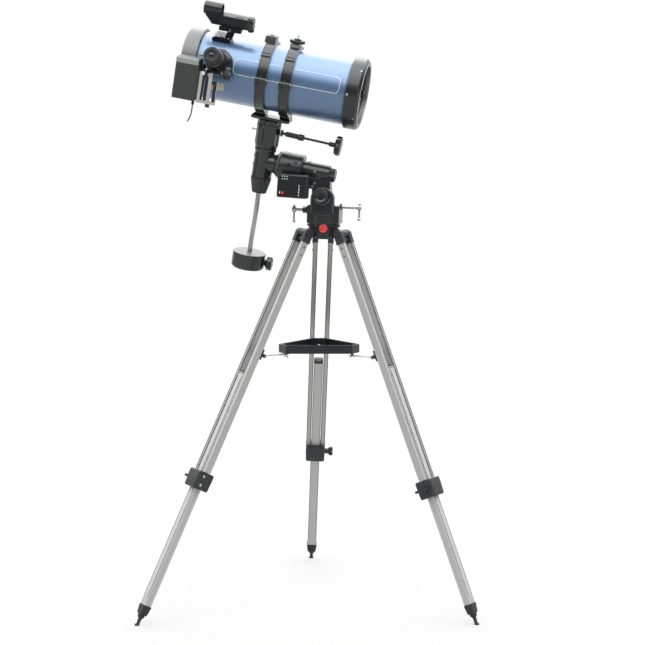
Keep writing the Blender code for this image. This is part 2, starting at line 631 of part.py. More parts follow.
def build_tube_ring(number, place):
    tag = f"tube_ring_{number}"
    half = TUBE_RING_WIDTH / 2
    hinge_y, hinge_z = RING_HINGE
    seat = frame(f"{tag}_frame", tube, (place, 0, 0))
    band = washer(-half, half, TUBE_RING_RADIUS, TUBE_RING_BORE)

    lower = turned(f"{tag}_lower", seat, band, along="X", steps=40)
    cut(lower, box(f"{tag}_above", seat, (-0.03, -0.12, hinge_z - GAP / 2), (0.03, 0.12, 0.12)))
    foot_low = PLATE_SPAN[1] + GAP - TUBE_OFFSET
    out_low, out_high = {1: (-0.0220, 0.0116), 2: (-0.0116, 0.0145)}[number]  # it reaches outwards
    foot = box(f"{tag}_foot", seat, (out_low, -0.0160, foot_low), (out_high, 0.0160, -0.0845))
    tools = [foot]
    for hand in (-1, 1):
        inner, outer = sorted((hand * 0.0053, hand * 0.0145))
        tools.append(rod(f"{tag}_knuckle", seat, (inner, hinge_y, hinge_z), (outer, hinge_y, hinge_z), 0.0040, 16))
        tools.append(box(f"{tag}_web", seat, (inner + INSET, hinge_y, -0.012), (outer - INSET, -0.0820, hinge_z - INSET)))
    tools.append(box(f"{tag}_lug", seat, (-0.0080, 0.0820, -0.0140), (0.0080, 0.1020, hinge_z - INSET)))
    join(lower, *tools)
    paint(lower, "dark satin")

    upper = turned(f"{tag}_upper", seat, band, along="X", steps=40)
    cut(upper, box(f"{tag}_below", seat, (-0.03, -0.12, -0.12), (0.03, 0.12, hinge_z + GAP / 2)))
    knuckle = rod(f"{tag}_tab", seat, (-0.0050, hinge_y, hinge_z), (0.0050, hinge_y, hinge_z), 0.0040, 16)
    web = box(f"{tag}_tab_web", seat, (-0.0046, hinge_y, hinge_z + INSET), (0.0046, -0.0820, 0.0110))
    lug = box(f"{tag}_upper_lug", seat, (-0.0080, 0.0820, hinge_z + INSET), (0.0080, 0.1020, 0.0130))
    block_low, block_high, block_top = {1: (-0.0165, 0.0089, 0.1010), 2: (-0.0133, 0.0094, 0.0945)}[number]
    block = box(f"{tag}_block", seat, (block_low, -0.0140, 0.0845), (block_high, 0.0140, block_top))
    tools = [knuckle, web, lug, block]
    if number == 2:
        tools.append(rod("piggyback_disc", seat, (0, 0, 0.0941), (0, 0, 0.1015), 0.0185, 32))
        tools.append(rod("piggyback_seat", seat, (0, 0, 0.1010), (0, 0, 0.1047), 0.0085, 24))
        tools.append(rod("piggyback_stud", seat, (0, 0, 0.1040), (0, 0, 0.1164), 0.0031, 16))
    join(upper, *tools)
    paint(upper, "dark satin")

    knob = turned(f"{tag}_knob", frame(f"{tag}_knob_frame", seat, (0, 0.0945, 0)), [
        (0.0, 0.0300), (0.0070, 0.0300), (0.0085, 0.0280), (0.0085, 0.0200), (0.0050, 0.0170),
        (0.0050, 0.0133), (0.0, 0.0133),
    ], steps=20)
    paint(knob, "black plastic")


def build_focuser():
    y_shaft, z_shaft = FOCUS_SHAFT
    x = FOCUSER_PLACE
    body = rod("focuser_body", focuser, (x + 0.0030, -0.0905, 0.0010), (x + 0.0030, -0.0650, 0.0010), 0.0315, 32)
    barrel = rod("focuser_barrel", focuser, (x, -0.1270, 0), (x, -0.0850, 0), 0.0225)
    pinion = rod("pinion_housing", focuser, (x - 0.0170, y_shaft, z_shaft), (x + 0.0170, y_shaft, z_shaft), 0.0085, 20)
    bridge = box("pinion_bridge", focuser, (x - 0.0150, -0.1150, z_shaft), (x + 0.0150, -0.0960, 0.0))
    pivot = rod("arm_pivot", tube, (x, ARM_BACK + GAP, ARM_PIVOT_HEIGHT), (x, -0.1050, ARM_PIVOT_HEIGHT), 0.0055, 16)
    join(body, barrel, bridge, pinion, pivot)
    saddle = rod("focuser_saddle", focuser, (x - 0.05, 0, 0), (x + 0.05, 0, 0), TUBE_RADIUS + GAP, 48)
    bore = rod("focuser_bore", focuser, (x, -0.14, 0), (x, -0.05, 0), DRAW_TUBE_RADIUS + GAP)
    shaft_bore = rod("shaft_bore", focuser, (x - 0.04, y_shaft, z_shaft), (x + 0.04, y_shaft, z_shaft), 0.0034, 16)
    cut(body, saddle, bore, shaft_bore)
    paint(body, "black plastic")

    seat = frame("draw_tube_frame", focuser, (x, 0, 0))
    draw = turned("draw_tube", seat, [
        (0.0215, -0.1305), (0.0215, -0.1420), (0.0162, -0.1420), (0.0162, -0.0680),
        (DRAW_TUBE_RADIUS, -0.0680), (DRAW_TUBE_RADIUS, -0.1305),
    ], along="Y")
    paint(draw, "chrome")

    eyepiece = turned("eyepiece", seat, [
        (0.0, -0.1180), (0.0157, -0.1180), (0.0157, -0.1424), (0.0205, -0.1424), (0.0205, -0.1740),
        (0.0175, -0.1800), (0.0125, -0.1800), (0.0080, -0.1770), (0.0, -0.1770),
    ], along="Y")
    paint(eyepiece, "rubber")

    knobs = rod("focus_knobs", focuser, (x - 0.0330, y_shaft, z_shaft), (x + 0.0330, y_shaft, z_shaft), 0.0030, 16)
    ends = [
        rod("focus_knob_end", focuser, (x + hand * 0.0240, y_shaft, z_shaft), (x + hand * 0.0385, y_shaft, z_shaft), 0.0155, 28)
        for hand in (-1, 1)
    ]
    join(knobs, *ends)
    paint(knobs, "black plastic")


def build_finder():
    bracket = box("finder_bracket", finder, (-0.1640, -0.0180, 0.0720), (-0.1180, 0.0140, 0.0900))
    neck = box("finder_neck", finder, (-0.1330, -0.0080, 0.0880), (-0.1120, 0.0080, 0.1100))
    shoe = box("finder_shoe", finder, (-0.1496, -0.0125, 0.1070), (-0.0940, 0.0125, 0.1180))
    join(bracket, neck, shoe)
    cut(bracket, rod("finder_saddle", finder, (-0.20, 0, 0), (-0.05, 0, 0), TUBE_RADIUS + GAP, 48))
    paint(bracket, "black plastic")

    body = box("red_dot_finder", finder, (-0.1500, -0.0110, 0.1183), (-0.0655, 0.0110, 0.1455))
    lens = rod("finder_lens_tube", finder, (-0.1900, 0, 0.1563), (-0.1450, 0, 0.1563), 0.0157)
    lift = box("finder_lift", finder, (-0.1820, -0.0080, 0.1300), (-0.1400, 0.0080, 0.1455))
    slope = box("finder_slope", finder, (-0.1690, -0.0095, 0.1190), (-0.1400, 0.0095, 0.1350))
    dial = rod("finder_dial", finder, (-0.0750, 0, 0.1130), (-0.0750, 0, 0.1200), 0.0080, 24)
    join(body, lens, lift, slope, dial)
    cut(body, rod("lens_bore", finder, (-0.20, 0, 0.1563), (-0.13, 0, 0.1563), 0.0126))
    paint(body, "black plastic")


def build_arm_and_box():
    front, back = ARM_BACK - 0.004, ARM_BACK
    arm = box("camera_arm", tube, (ARM_BARS[0][0], front, -0.0040), (ARM_BARS[1][1], back, 0.0090))
    bars = [
        box("arm_bar", tube, (low, front + INSET, ARM_BOTTOM + INSET), (high, back - INSET, top))
        for (low, high), top in zip(ARM_BARS, (0.0, 0.0, -0.0090))
    ]
    bridge = box("arm_bridge", tube, (-0.1300, front, -0.0190), (-0.1110, back, -0.0110))
    foot = box("arm_foot", tube, (-0.1572, front, ARM_BOTTOM), (-0.1110, back, ARM_BOTTOM + 0.0080))
    join(arm, *bars, bridge, foot)
    paint(arm, "chrome")

    case = box("camera_box", tube, BOX_LOW, BOX_HIGH)
    round_edges(case, 0.003)
    relief = rod("strain_relief", tube, (RELIEF.x, RELIEF.y, BOX_LOW.z + 0.001), RELIEF, 0.0026, 12)
    join(case, relief)
    paint(case, "grey plastic")


def build_cord():
    """It hangs plumb from the box, so its own frame is upright."""
    bpy.context.view_layer.update()
    mouth = tube.matrix_world @ (RELIEF - Vector((0, 0, 2 * GAP)))
    hang = frame("cord_frame", origin, origin.matrix_world.inverted() @ mouth)
    cord = tube_along("box_cord", hang, CORD_ROUTE, CORD_RADIUS)
    paint(cord, "rubber")


def settle_origin():
    """Put the origin at the middle of the box's underside."""
    bpy.context.view_layer.update()
    graph = bpy.context.evaluated_depsgraph_get()
    places = []
    for piece in parts.objects:
        shape = piece.evaluated_get(graph)
        mesh = shape.to_mesh()
        places += [shape.matrix_world @ corner.co for corner in mesh.vertices]
        shape.to_mesh_clear()
    low = Vector(min(p[k] for p in places) for k in range(3))
    high = Vector(max(p[k] for p in places) for k in range(3))
    origin.location = (-(low.x + high.x) / 2, -(low.y + high.y) / 2, -low.z)


build_hub()
build_tray()
for leg_number, leg_azimuth in LEG_AZIMUTHS.items():
    build_leg(leg_number, leg_azimuth)
build_base()
build_pivot_knob()
build_t_bolt("left_t_bolt", -1, PIVOT.x - ARM_HALF - T_BOLT_CLEARANCE, -0.0743, LEFT_BOLT_HEIGHT)
build_t_bolt("right_t_bolt", 1, PIVOT.x + ARM_HALF + T_BOLT_CLEARANCE, 0.0865, RIGHT_BOLT_HEIGHT)
build_polar()
build_motor_box()
build_dec()
build_shell()
build_mirrors()
for ring_number, ring_place in enumerate(TUBE_RING_PLACES, 1):
    build_tube_ring(ring_number, ring_place)
build_focuser()
build_finder()
build_arm_and_box()
build_cord()
settle_origin()
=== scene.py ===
"""Looks of a 130 mm reflector telescope on its equatorial mount and aluminium tripod.

Every piece is built in millimetres in the frame of the body that it moves with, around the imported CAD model.
"""
import json
from math import ceil, cos, pi, radians, sin

import bmesh
import bpy
from mathutils import Matrix, Vector


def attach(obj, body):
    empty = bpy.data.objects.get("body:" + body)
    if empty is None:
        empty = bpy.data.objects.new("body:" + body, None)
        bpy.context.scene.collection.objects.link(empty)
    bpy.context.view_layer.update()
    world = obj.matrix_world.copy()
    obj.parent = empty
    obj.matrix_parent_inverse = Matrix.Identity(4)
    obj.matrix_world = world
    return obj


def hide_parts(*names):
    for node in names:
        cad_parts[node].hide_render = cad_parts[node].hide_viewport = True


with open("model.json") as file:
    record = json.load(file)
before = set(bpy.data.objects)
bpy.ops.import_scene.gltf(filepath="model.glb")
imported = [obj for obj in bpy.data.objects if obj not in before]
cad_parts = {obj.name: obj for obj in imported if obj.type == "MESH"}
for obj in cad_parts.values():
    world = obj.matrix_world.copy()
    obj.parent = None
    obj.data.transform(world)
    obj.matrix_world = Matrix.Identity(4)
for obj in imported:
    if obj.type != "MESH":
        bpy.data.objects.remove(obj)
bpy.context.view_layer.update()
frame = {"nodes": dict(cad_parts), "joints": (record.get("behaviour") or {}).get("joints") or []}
MM = 0.001
SCENE = bpy.context.scene
JOINTS = {joint["name"]: joint for joint in frame["joints"]}


# ---- frames, as the CAD source has them

def turn(axis, degrees):
    return Matrix.Rotation(radians(degrees), 4, axis)


def shift(x, y, z):
    return Matrix.Translation((x, y, z))


def place(x, y, z):
    """A move in metres, given in millimetres."""
    return shift(x * MM, y * MM, z * MM)


def in_millimetres(lay):
    return Matrix.Translation(lay.translation / MM) @ lay.to_3x3().to_4x4()


LEAN, SPLAY, MOUNT_YAW, LATITUDE, RA_TURN = 2.07, 24.1, -8.3, 8.9, 10
LEGS = {1: 90, 2: 210, 3: 330}
BRACE_DISTANCES = {1: 318.6, 2: 318.6, 3: 311.6}
LEG_LENGTHS = {1: 1016.3, 2: 1032.6, 3: 1000.4}
# The rail of each front leg that faces the camera; it gets no side strip of painted shade
NEAR_RAIL = {2: 1, 3: -1}
INNER_TUBE_LENGTHS = {1: 593, 2: 605, 3: 602}
RING_PLACES = {1: -22.5, 2: 37}
FOCUS_X = -132
TUBE_RADIUS = 80
CLAMP_MIDDLE = -656.6
RAIL_END = -634

HUB = Matrix.Translation(Vector(JOINTS["azimuth_turn"]["pos_m"])) @ turn("Y", LEAN)
TRAY = HUB @ place(0, 0, -287.5) @ turn("Y", -LEAN)
MOUNT = HUB @ turn("Z", MOUNT_YAW)
PIVOT = MOUNT @ place(-1.8, 0, 98.4)
POLAR = MOUNT @ place(-156, 0, 176.4) @ turn("Y", LATITUDE)
MOTOR = POLAR @ place(93, 0, -42.8) @ turn("Y", -7)
RA = POLAR @ turn("X", RA_TURN)
WEIGHT_KNOB = RA @ place(0, 0, -253.5)
CONTROL = RA @ place(30.3, 0, 79.2) @ turn("Y", 1.7)
TUBE = RA @ place(0, 0, 209.5)
FOCUSER = TUBE @ turn("X", -17.5)
FINDER = TUBE @ turn("X", 20)


def leg_frame(number):
    azimuth = turn("Z", LEGS[number])
    return HUB @ azimuth @ place(54, 0, 6) @ turn("Y", -SPLAY)


def brace_frame(number):
    azimuth = LEGS[number]
    level = turn("Z", -azimuth) @ turn("Y", -LEAN) @ turn("Z", azimuth)
    return leg_frame(number) @ place(-26, 0, -BRACE_DISTANCES[number]) @ turn("Y", SPLAY) @ level


# ---- camera, light and floor

HUB_HEIGHT = 0.9211
CAMERA_SPOT = (-0.002, -4.3878, 1.1297)
CAMERA_DIP = 5.532
LENS_MM = 98.94
camera_data = bpy.data.cameras.new("camera")
camera_data.sensor_width = 36
camera_data.lens = LENS_MM
camera_data.clip_end = 100
camera = bpy.data.objects.new("camera", camera_data)
camera.location = HUB.translation - Vector((0, 0, HUB_HEIGHT)) + Vector(CAMERA_SPOT)
camera.rotation_euler = (radians(90 - CAMERA_DIP), 0, 0)
SCENE.collection.objects.link(camera)
SCENE.camera = camera
SCENE.view_settings.view_transform = "Standard"


LIGHTS = (  # name, size, power, spot
    ("top light", (2.6, 1.6), 12, (0.2, -0.9, 3.4)),
    ("left light", (0.7, 2.2), 5, (-2.8, -1.6, 1.6)),
    ("right light", (0.5, 2.2), 2, (3, -1, 1.5)),
    ("front light", (1.2, 0.8), 5, (0.4, -4.2, 2.4)),
)
LIGHT_TARGET = Vector((0, 0, 0.9))
WALL_RAMP = ((0.55, (0.13, 0.14, 0.15, 1)), (0.94, (1, 1, 1, 1)))  # the room's dim front, its white back
CEILING_STARTS, CEILING_FULL = 0.3, 0.54  # heights on the unit sphere
CEILING = 3.8  # how much brighter the ceiling is than the wall behind
FLOOR_GLOW = 0.5


def add(nodes, kind, **values):
    """A new shader node with its inputs set. An underscore stands for a space."""
    node = nodes.new("ShaderNode" + kind)
    for name, value in values.items():
        node.inputs[name.replace("_", " ")].default_value = value
    return node


def wire(start, output, end, place):
    start.id_data.links.new(start.outputs[output], end.inputs[place])


def soft_light(name, size, power, spot):
    data = bpy.data.lights.new(name, "AREA")
    data.shape = "RECTANGLE"
    data.size, data.size_y = size
    data.energy = power
    light = bpy.data.objects.new(name, data)
    light.location = spot
    light.rotation_euler = (LIGHT_TARGET - Vector(spot)).to_track_quat("-Z", "Y").to_euler()
    SCENE.collection.objects.link(light)


def build_studio():
    """A white wall behind, a dim room in front, a broad soft ceiling, a white backdrop from every side."""
    world = bpy.data.worlds.new("studio")
    SCENE.world = world
    world.use_nodes = True
    nodes = world.node_tree.nodes
    way = add(nodes, "TexCoord")
    split = add(nodes, "SeparateXYZ")
    ramp = add(nodes, "ValToRGB")
    spread = add(nodes, "MapRange", From_Min=-1)
    wire(way, "Generated", split, 0)
    wire(split, "Y", spread, "Value")
    wire(spread, "Result", ramp, "Fac")
    for element, (position, colour) in zip(ramp.color_ramp.elements, WALL_RAMP):
        element.position = position
        element.color = colour
    height = add(nodes, "MapRange", From_Min=CEILING_STARTS, From_Max=CEILING_FULL)
    wire(split, "Z", height, "Value")
    ceiling = add(nodes, "Mix")
    ceiling.data_type = "RGBA"
    ceiling.inputs["B"].default_value = (1, 1, 1, 1)
    wire(height, "Result", ceiling, "Factor")
    wire(ramp, "Color", ceiling, "A")
    room = nodes["Background"]
    wire(ceiling, "Result", room, "Color")
    power = add(nodes, "MapRange", To_Min=1, To_Max=CEILING)
    wire(height, "Result", power, "Value")
    wire(power, "Result", room, "Strength")
    backdrop = add(nodes, "Background", Color=(1, 1, 1, 1))
    ray = add(nodes, "LightPath")
    either = add(nodes, "MixShader")
    wire(ray, "Is Camera Ray", either, "Fac")
    wire(room, "Background", either, 1)
    wire(backdrop, "Background", either, 2)
    wire(either, "Shader", nodes["World Output"], "Surface")
    for light in LIGHTS:
        soft_light(*light)
    bpy.ops.mesh.primitive_plane_add(size=24, location=(0, 0, 0))
    floor = bpy.context.object
    floor.name = "floor"
    pale = surface("pale floor", (0.13, 0.13, 0.13), 0.9, mottle=0.01, scale=6, bump=0)
    glow = pale.node_tree.nodes["Principled BSDF"]
    glow.inputs["Emission Color"].default_value = (1, 1, 1, 1)
    glow.inputs["Emission Strength"].default_value = FLOOR_GLOW
    floor.data.materials.append(pale)


# ---- materials

RELIEF_DEPTH = 0.0003
ALONG_RAIL = (1, 1, 0.015)


def surface(name, colour, rough, metal=0, mottle=0.1, scale=70, grain=1800, bump=0.08, vary=0.06,
            coat=0, coat_rough=0.08, stretch=(1, 1, 1), bands=None):
    """A finish whose colour, roughness and relief vary with two noises in the piece's own coordinates."""
    material = bpy.data.materials.new(name)
    material.use_nodes = True
    nodes = material.node_tree.nodes
    shader = nodes["Principled BSDF"]
    shader.inputs["Metallic"].default_value = metal
    shader.inputs["Coat Weight"].default_value = coat
    shader.inputs["Coat Roughness"].default_value = coat_rough
    where = add(nodes, "TexCoord")
    lay = add(nodes, "Mapping", Scale=stretch)
    wire(where, "Object", lay, "Vector")
    broad = add(nodes, "TexNoise", Scale=scale, Detail=5)
    fine = add(nodes, "TexNoise", Scale=grain, Detail=3)
    for noise in (broad, fine):
        wire(lay, "Vector", noise, "Vector")
    blend = add(nodes, "Mix")
    blend.data_type = "RGBA"
    blend.inputs["A"].default_value = (*[c * (1 - mottle) for c in colour], 1)
    blend.inputs["B"].default_value = (*[min(1, c * (1 + mottle)) for c in colour], 1)
    wire(broad, "Fac", blend, "Factor")
    wire(blend, "Result", shader, "Base Color")
    sheen = add(nodes, "MapRange", From_Min=0.25, From_Max=0.75, To_Min=max(0.02, rough - vary),
        To_Max=rough + vary)
    wire(fine, "Fac", sheen, "Value")
    wire(sheen, "Result", shader, "Roughness")
    if bump:
        relief = add(nodes, "Bump", Strength=bump, Distance=RELIEF_DEPTH)
        wire(fine, "Fac", relief, "Height")
        if bands:
            direction, count, strength = bands
            wave = add(nodes, "TexWave", Scale=count)
            wave.bands_direction = direction
            wire(where, "Object", wave, "Vector")
            lines = add(nodes, "Bump", Strength=strength, Distance=RELIEF_DEPTH)
            wire(wave, "Fac", lines, "Height")
            wire(relief, "Normal", lines, "Normal")
            relief = lines
        wire(relief, "Normal", shader, "Normal")
    return material


ENAMEL = surface("hammered black enamel", (0.01, 0.013, 0.0125), 0.3, 0.1, mottle=0.15, grain=900, bump=0.1,
    coat=0.25)
FLUTED = surface("lined black enamel", (0.012, 0.015, 0.0145), 0.34, 0.1, mottle=0.15, grain=900, coat=0.2,
    bands=("X", 420, 0.35))
PLASTIC = surface("grained black plastic", (0.01, 0.012, 0.014), 0.42, mottle=0.12, grain=2600, bump=0.14)
NAVY = surface("tray plastic", (0.004, 0.005, 0.007), 0.36, mottle=0.12, grain=2400, bump=0.12)
SMOOTH = surface("smooth black plastic", (0.008, 0.009, 0.01), 0.24, grain=1500, bump=0.04)
RUBBER = surface("black rubber", (0.011, 0.011, 0.012), 0.72, mottle=0.12, grain=2200, bump=0.2)
BARE = surface("extruded aluminium", (0.38, 0.376, 0.362), 0.46, 0.7, mottle=0.04, scale=1400, grain=2600,
    bump=0.05, stretch=ALONG_RAIL, vary=0.08)
# Near-black strips laid on the aluminium: painted shade in the grooves and gaps of the rails and inner tubes
PAINTED_GROOVE_SHADE = surface("painted shade in grooves", (0.016, 0.016, 0.018), 0.6, 0.1, mottle=0.05, scale=1400, grain=2600,
    stretch=ALONG_RAIL)
# A darker copy of the leg aluminium: painted shade
PAINTED_SHADE_ALUMINIUM = surface("aluminium in painted shade", (0.36, 0.36, 0.37), 0.62, 0.4, mottle=0.05, scale=1400, grain=2600,
    stretch=ALONG_RAIL)
LEG_TUBE = surface("inner leg aluminium", (0.42, 0.415, 0.4), 0.46, 0.7, mottle=0.05, scale=1400, grain=2600,
    bump=0.05, stretch=ALONG_RAIL, vary=0.08)
CHROME = surface("bright chrome", (0.42, 0.415, 0.4), 0.13, 1, mottle=0.06, scale=300, grain=1500, bump=0.02,
    vary=0.04)
STEEL = surface("satin steel", (0.4, 0.4, 0.385), 0.3, 1, mottle=0.08, scale=500, grain=2200, bump=0.05)
BRASS = surface("dull brass", (0.26, 0.22, 0.14), 0.32, 1, scale=500, grain=2200, bump=0.05)
LACQUER = surface("blue metallic lacquer", (0.08, 0.145, 0.255), 0.38, 0.66, mottle=0.035, scale=45,
    grain=5200, bump=0.025, vary=0.05, coat=1, coat_rough=0.22)
LINE_BLUE = surface("dark blue line", (0.02, 0.04, 0.11), 0.35, coat=0.4)
CREAM = surface("pale cream line", (0.6, 0.6, 0.53), 0.45, mottle=0.05, bump=0.03)
LABEL = surface("cream label", (0.4, 0.375, 0.28), 0.5, mottle=0.05, bump=0.03)
SATIN = surface("grey satin paint", (0.095, 0.1, 0.102), 0.36, 0.35, mottle=0.08, grain=2400, bump=0.06,
    coat=0.2)
CELL = surface("black satin paint", (0.01, 0.012, 0.013), 0.28, 0.2, mottle=0.12, grain=2200, coat=0.2)
FLAT_BLACK = surface("flat black inside", (0.01, 0.01, 0.011), 0.85, bump=0.1)
RING = surface("ring paint", (0.01, 0.012, 0.012), 0.26, 0.2, mottle=0.14, grain=1400, coat=0.3)
IRON = surface("painted iron", (0.008, 0.011, 0.01), 0.28, 0.15, mottle=0.15, grain=1100, bump=0.12, coat=0.3)
CAST = surface("bare cast face", (0.15, 0.152, 0.158), 0.45, 0.6, mottle=0.15, scale=160, grain=1300,
    bump=0.2)
BOX = surface("grey-green plastic", (0.02, 0.026, 0.024), 0.42, grain=2600, bump=0.12)
# Pale grey: the colour of some small plastic parts, and also a painted highlight on the mount's casting
PALE_GREY_AND_HIGHLIGHT = surface("light grey plastic and painted highlight", (0.21, 0.23, 0.22), 0.4, mottle=0.08, grain=2600, bump=0.1)
# A near-black copy of bright metal: painted shade
PAINTED_SHADE_BAR = surface("bright metal in painted shade", (0.03, 0.036, 0.05), 0.2, 1, scale=300, grain=1500, bump=0.03)
TWIST = surface("twisted steel bar", (0.34, 0.33, 0.31), 0.22, 1, scale=300, grain=1500, bump=0.03)
# A light grey line on black enamel edges: a painted highlight
PAINTED_EDGE_HIGHLIGHT = surface("painted highlight on enamel edge", (0.15, 0.16, 0.16), 0.3, 0.4, mottle=0.2, grain=1400)
MIRROR = surface("aluminised glass", (0.9, 0.92, 0.94), 0.04, 1, mottle=0.02, bump=0, vary=0.01)
LENS = surface("coated glass", (0.006, 0.007, 0.01), 0.05, 0, mottle=0.3, bump=0, vary=0.02, coat=1)
RED = surface("red badge", (0.46, 0.026, 0.026), 0.32, bump=0.05, coat=0.4)
WHITE = surface("white print", (0.7, 0.71, 0.7), 0.5, mottle=0.05, bump=0.03)
GREEN_DOT = surface("pale print", (0.42, 0.5, 0.46), 0.5, mottle=0.08, bump=0.03)


# ---- shapes, in millimetres

LAY = {"Z": Matrix(), "X": turn("Y", 90), "Y": turn("X", -90)}


def band(outer, inner, start, end):
    """The profile of a ring between two radii."""
    return [(outer, start), (outer, end), (inner, end), (inner, start)]


def solid(*points):
    """A profile closed to its axis at both ends."""
    return [(0, points[0][1]), *points, (0, points[-1][1])]


def disc(radius, start, end):
    return solid((radius, start), (radius, end))


def join(part, rows):
    """Faces between each row of points and the next."""
    count = len(rows[0])
    for a, b in zip(rows, rows[1:]):
        for k in range(count):
            part.faces.new((a[k], a[(k + 1) % count], b[(k + 1) % count], b[k]))


def softened(profile, soft, ring):
    """The profile with each corner rounded."""
    if not soft:
        return profile
    found = []
    last = len(profile) - 1
    for index, (radius, along) in enumerate(profile):
        corner = Vector((radius, along))
        if not ring and index in (0, last) or radius < 1e-6:
            found.append(corner)
            continue
        before = Vector(profile[index - 1]) - corner
        after = Vector(profile[(index + 1) % len(profile)]) - corner
        a = corner + before.normalized() * min(soft, before.length * 0.4)
        b = corner + after.normalized() * min(soft, after.length * 0.4)
        found += [a, a * 0.25 + corner * 0.5 + b * 0.25, b]
    return [tuple(point) for point in found]


class Form:
    """One piece, gathered from shapes in its own frame and mostly of one material."""

    def __init__(self, name, within, material):
        self.name, self.within, self.material = name, within, material
        self.whole = bmesh.new()
        self.materials = []

    def put(self, part, material=None, lay=None):
        material = material or self.material
        if lay is not None:
            bmesh.ops.transform(part, matrix=lay, verts=part.verts)
        bmesh.ops.recalc_face_normals(part, faces=part.faces)
        if material not in self.materials:
            self.materials.append(material)
        for face in part.faces:
            face.material_index = self.materials.index(material)
            face.smooth = True
        mesh = bpy.data.meshes.new("shape")
        part.to_mesh(mesh)
        part.free()
        self.whole.from_mesh(mesh)
        bpy.data.meshes.remove(mesh)

    def box(self, low, high, edge=0.8, lay=None, segments=2, material=None):
        part = bmesh.new()
        bmesh.ops.create_cube(part, size=1)
        low, high = Vector(low), Vector(high)
        size = high - low
        bmesh.ops.transform(part, matrix=Matrix.Translation((low + high) / 2) @ Matrix.Diagonal((*size, 1)),
            verts=part.verts)
        if edge:
            width = min(edge, min(size) * 0.4)
            bmesh.ops.bevel(part, geom=part.edges[:], offset=width, segments=segments, profile=0.5,
                affect="EDGES")
        self.put(part, material, lay)

    def block(self, bottom, top, edge=0.8, material=None):
        """Two rectangles ((x0, x1), (y0, y1), level) joined by straight sides."""
        part = bmesh.new()
        corners = []
        for (x0, x1), (y0, y1), level in (bottom, top):
            corners += [part.verts.new((x, y, level)) for x, y in ((x0, y0), (x1, y0), (x1, y1), (x0, y1))]
        a, b = corners[:4], corners[4:]
        part.faces.new(a)
        part.faces.new(b)
        join(part, [a, b])
        bmesh.ops.recalc_face_normals(part, faces=part.faces)
        if edge:
            bmesh.ops.bevel(part, geom=part.edges[:], offset=edge, segments=2, profile=0.5, affect="EDGES")
        self.put(part, material)

    def lathe(self, profile, steps=64, soft=0, along="Z", at=(0, 0, 0), wave=None, arc=None, ring=False,
            lay=None, material=None):
        """A round of so many steps, softened. wave is (how many, how deep, from which radius, twist)."""
        count, depth, least, twist = (*(wave or (0, 0, 1e9)), 0)[:4]
        first, last = arc or (0, 360)
        spans = steps if not arc else ceil(steps * (last - first) / 360)
        angles = [radians(first + (last - first) * k / spans) for k in range(spans + bool(arc))]
        part = bmesh.new()
        rows = []
        for radius, distance in softened(profile, soft, ring):
            if radius < 1e-6:
                rows.append([part.verts.new((0, 0, distance))] * len(angles))
                continue
            row = []
            for angle in angles:
                dip = depth * (0.5 - 0.5 * cos(count * angle + twist * distance)) if radius >= least else 0
                row.append(part.verts.new((cos(angle) * (radius - dip), sin(angle) * (radius - dip),
                    distance)))
            rows.append(row)
        for a, b in [*zip(rows, rows[1:]), *([(rows[-1], rows[0])] if ring else [])]:
            for k in range(len(angles) - bool(arc)):
                j = (k + 1) % len(angles)
                corners = list(dict.fromkeys((a[k], a[j], b[j], b[k])))
                if len(corners) > 2:
                    part.faces.new(corners)
        if arc and ring:
            part.faces.new([row[0] for row in rows])
            part.faces.new([row[-1] for row in rows])
        self.put(part, material, (lay if lay is not None else Matrix()) @ shift(*at) @ LAY[along])

    def hoop(self, *shape, **options):
        self.lathe(*shape, ring=True, **options)

    def rod(self, start, end, radius, steps=32, soft=0.4, wave=None, material=None):
        start, end = Vector(start), Vector(end)
        run = end - start
        aim = Matrix.Translation(start) @ run.to_track_quat("Z", "Y").to_matrix().to_4x4()
        self.lathe(disc(radius, 0, run.length), steps, soft, wave=wave, lay=aim, material=material)

    def prism(self, outline, low, high, axis="Z", edge=0.6, material=None):
        part = bmesh.new()
        lay = {"Z": lambda u, v, w: (u, v, w), "Y": lambda u, v, w: (u, w, v),
               "X": lambda u, v, w: (w, u, v)}[axis]
        a = [part.verts.new(lay(u, v, low)) for u, v in outline]
        b = [part.verts.new(lay(u, v, high)) for u, v in outline]
        part.faces.new(a)
        part.faces.new(b)
        join(part, [a, b])
        bmesh.ops.recalc_face_normals(part, faces=part.faces)
        if edge:
            sharp = [e for e in part.edges if e.calc_face_angle(0) > radians(35)]
            bmesh.ops.bevel(part, geom=sharp, offset=edge, segments=2, profile=0.5, affect="EDGES")
        self.put(part, material)

    def sweep(self, points, radius, steps=16, material=None):
        points = [Vector(p) for p in points]
        part = bmesh.new()
        side = Vector((0, 1, 0))
        rows = []
        for index, point in enumerate(points):
            run = (points[min(index + 1, len(points) - 1)] - points[max(index - 1, 0)]).normalized()
            side = (side - run * side.dot(run)).normalized()
            other = run.cross(side)
            turns = [2 * pi * k / steps for k in range(steps)]
            rows.append([part.verts.new(point + (side * cos(a) + other * sin(a)) * radius) for a in turns])
        join(part, rows)
        part.faces.new(rows[0])
        part.faces.new(rows[-1])
        self.put(part, material)

    def screw(self, spot, aim, radius, height=1.2, material=None):
        """A pan head with a sunk drive, standing on a surface."""
        lay = Matrix.Translation(spot) @ Vector(aim).to_track_quat("Z", "Y").to_matrix().to_4x4()
        head = solid((radius * 0.38, height * 0.45), (radius * 0.46, height), (radius * 0.75, height),
            (radius, height * 0.5), (radius, -0.3))
        self.lathe(head, 24, lay=lay, material=material)

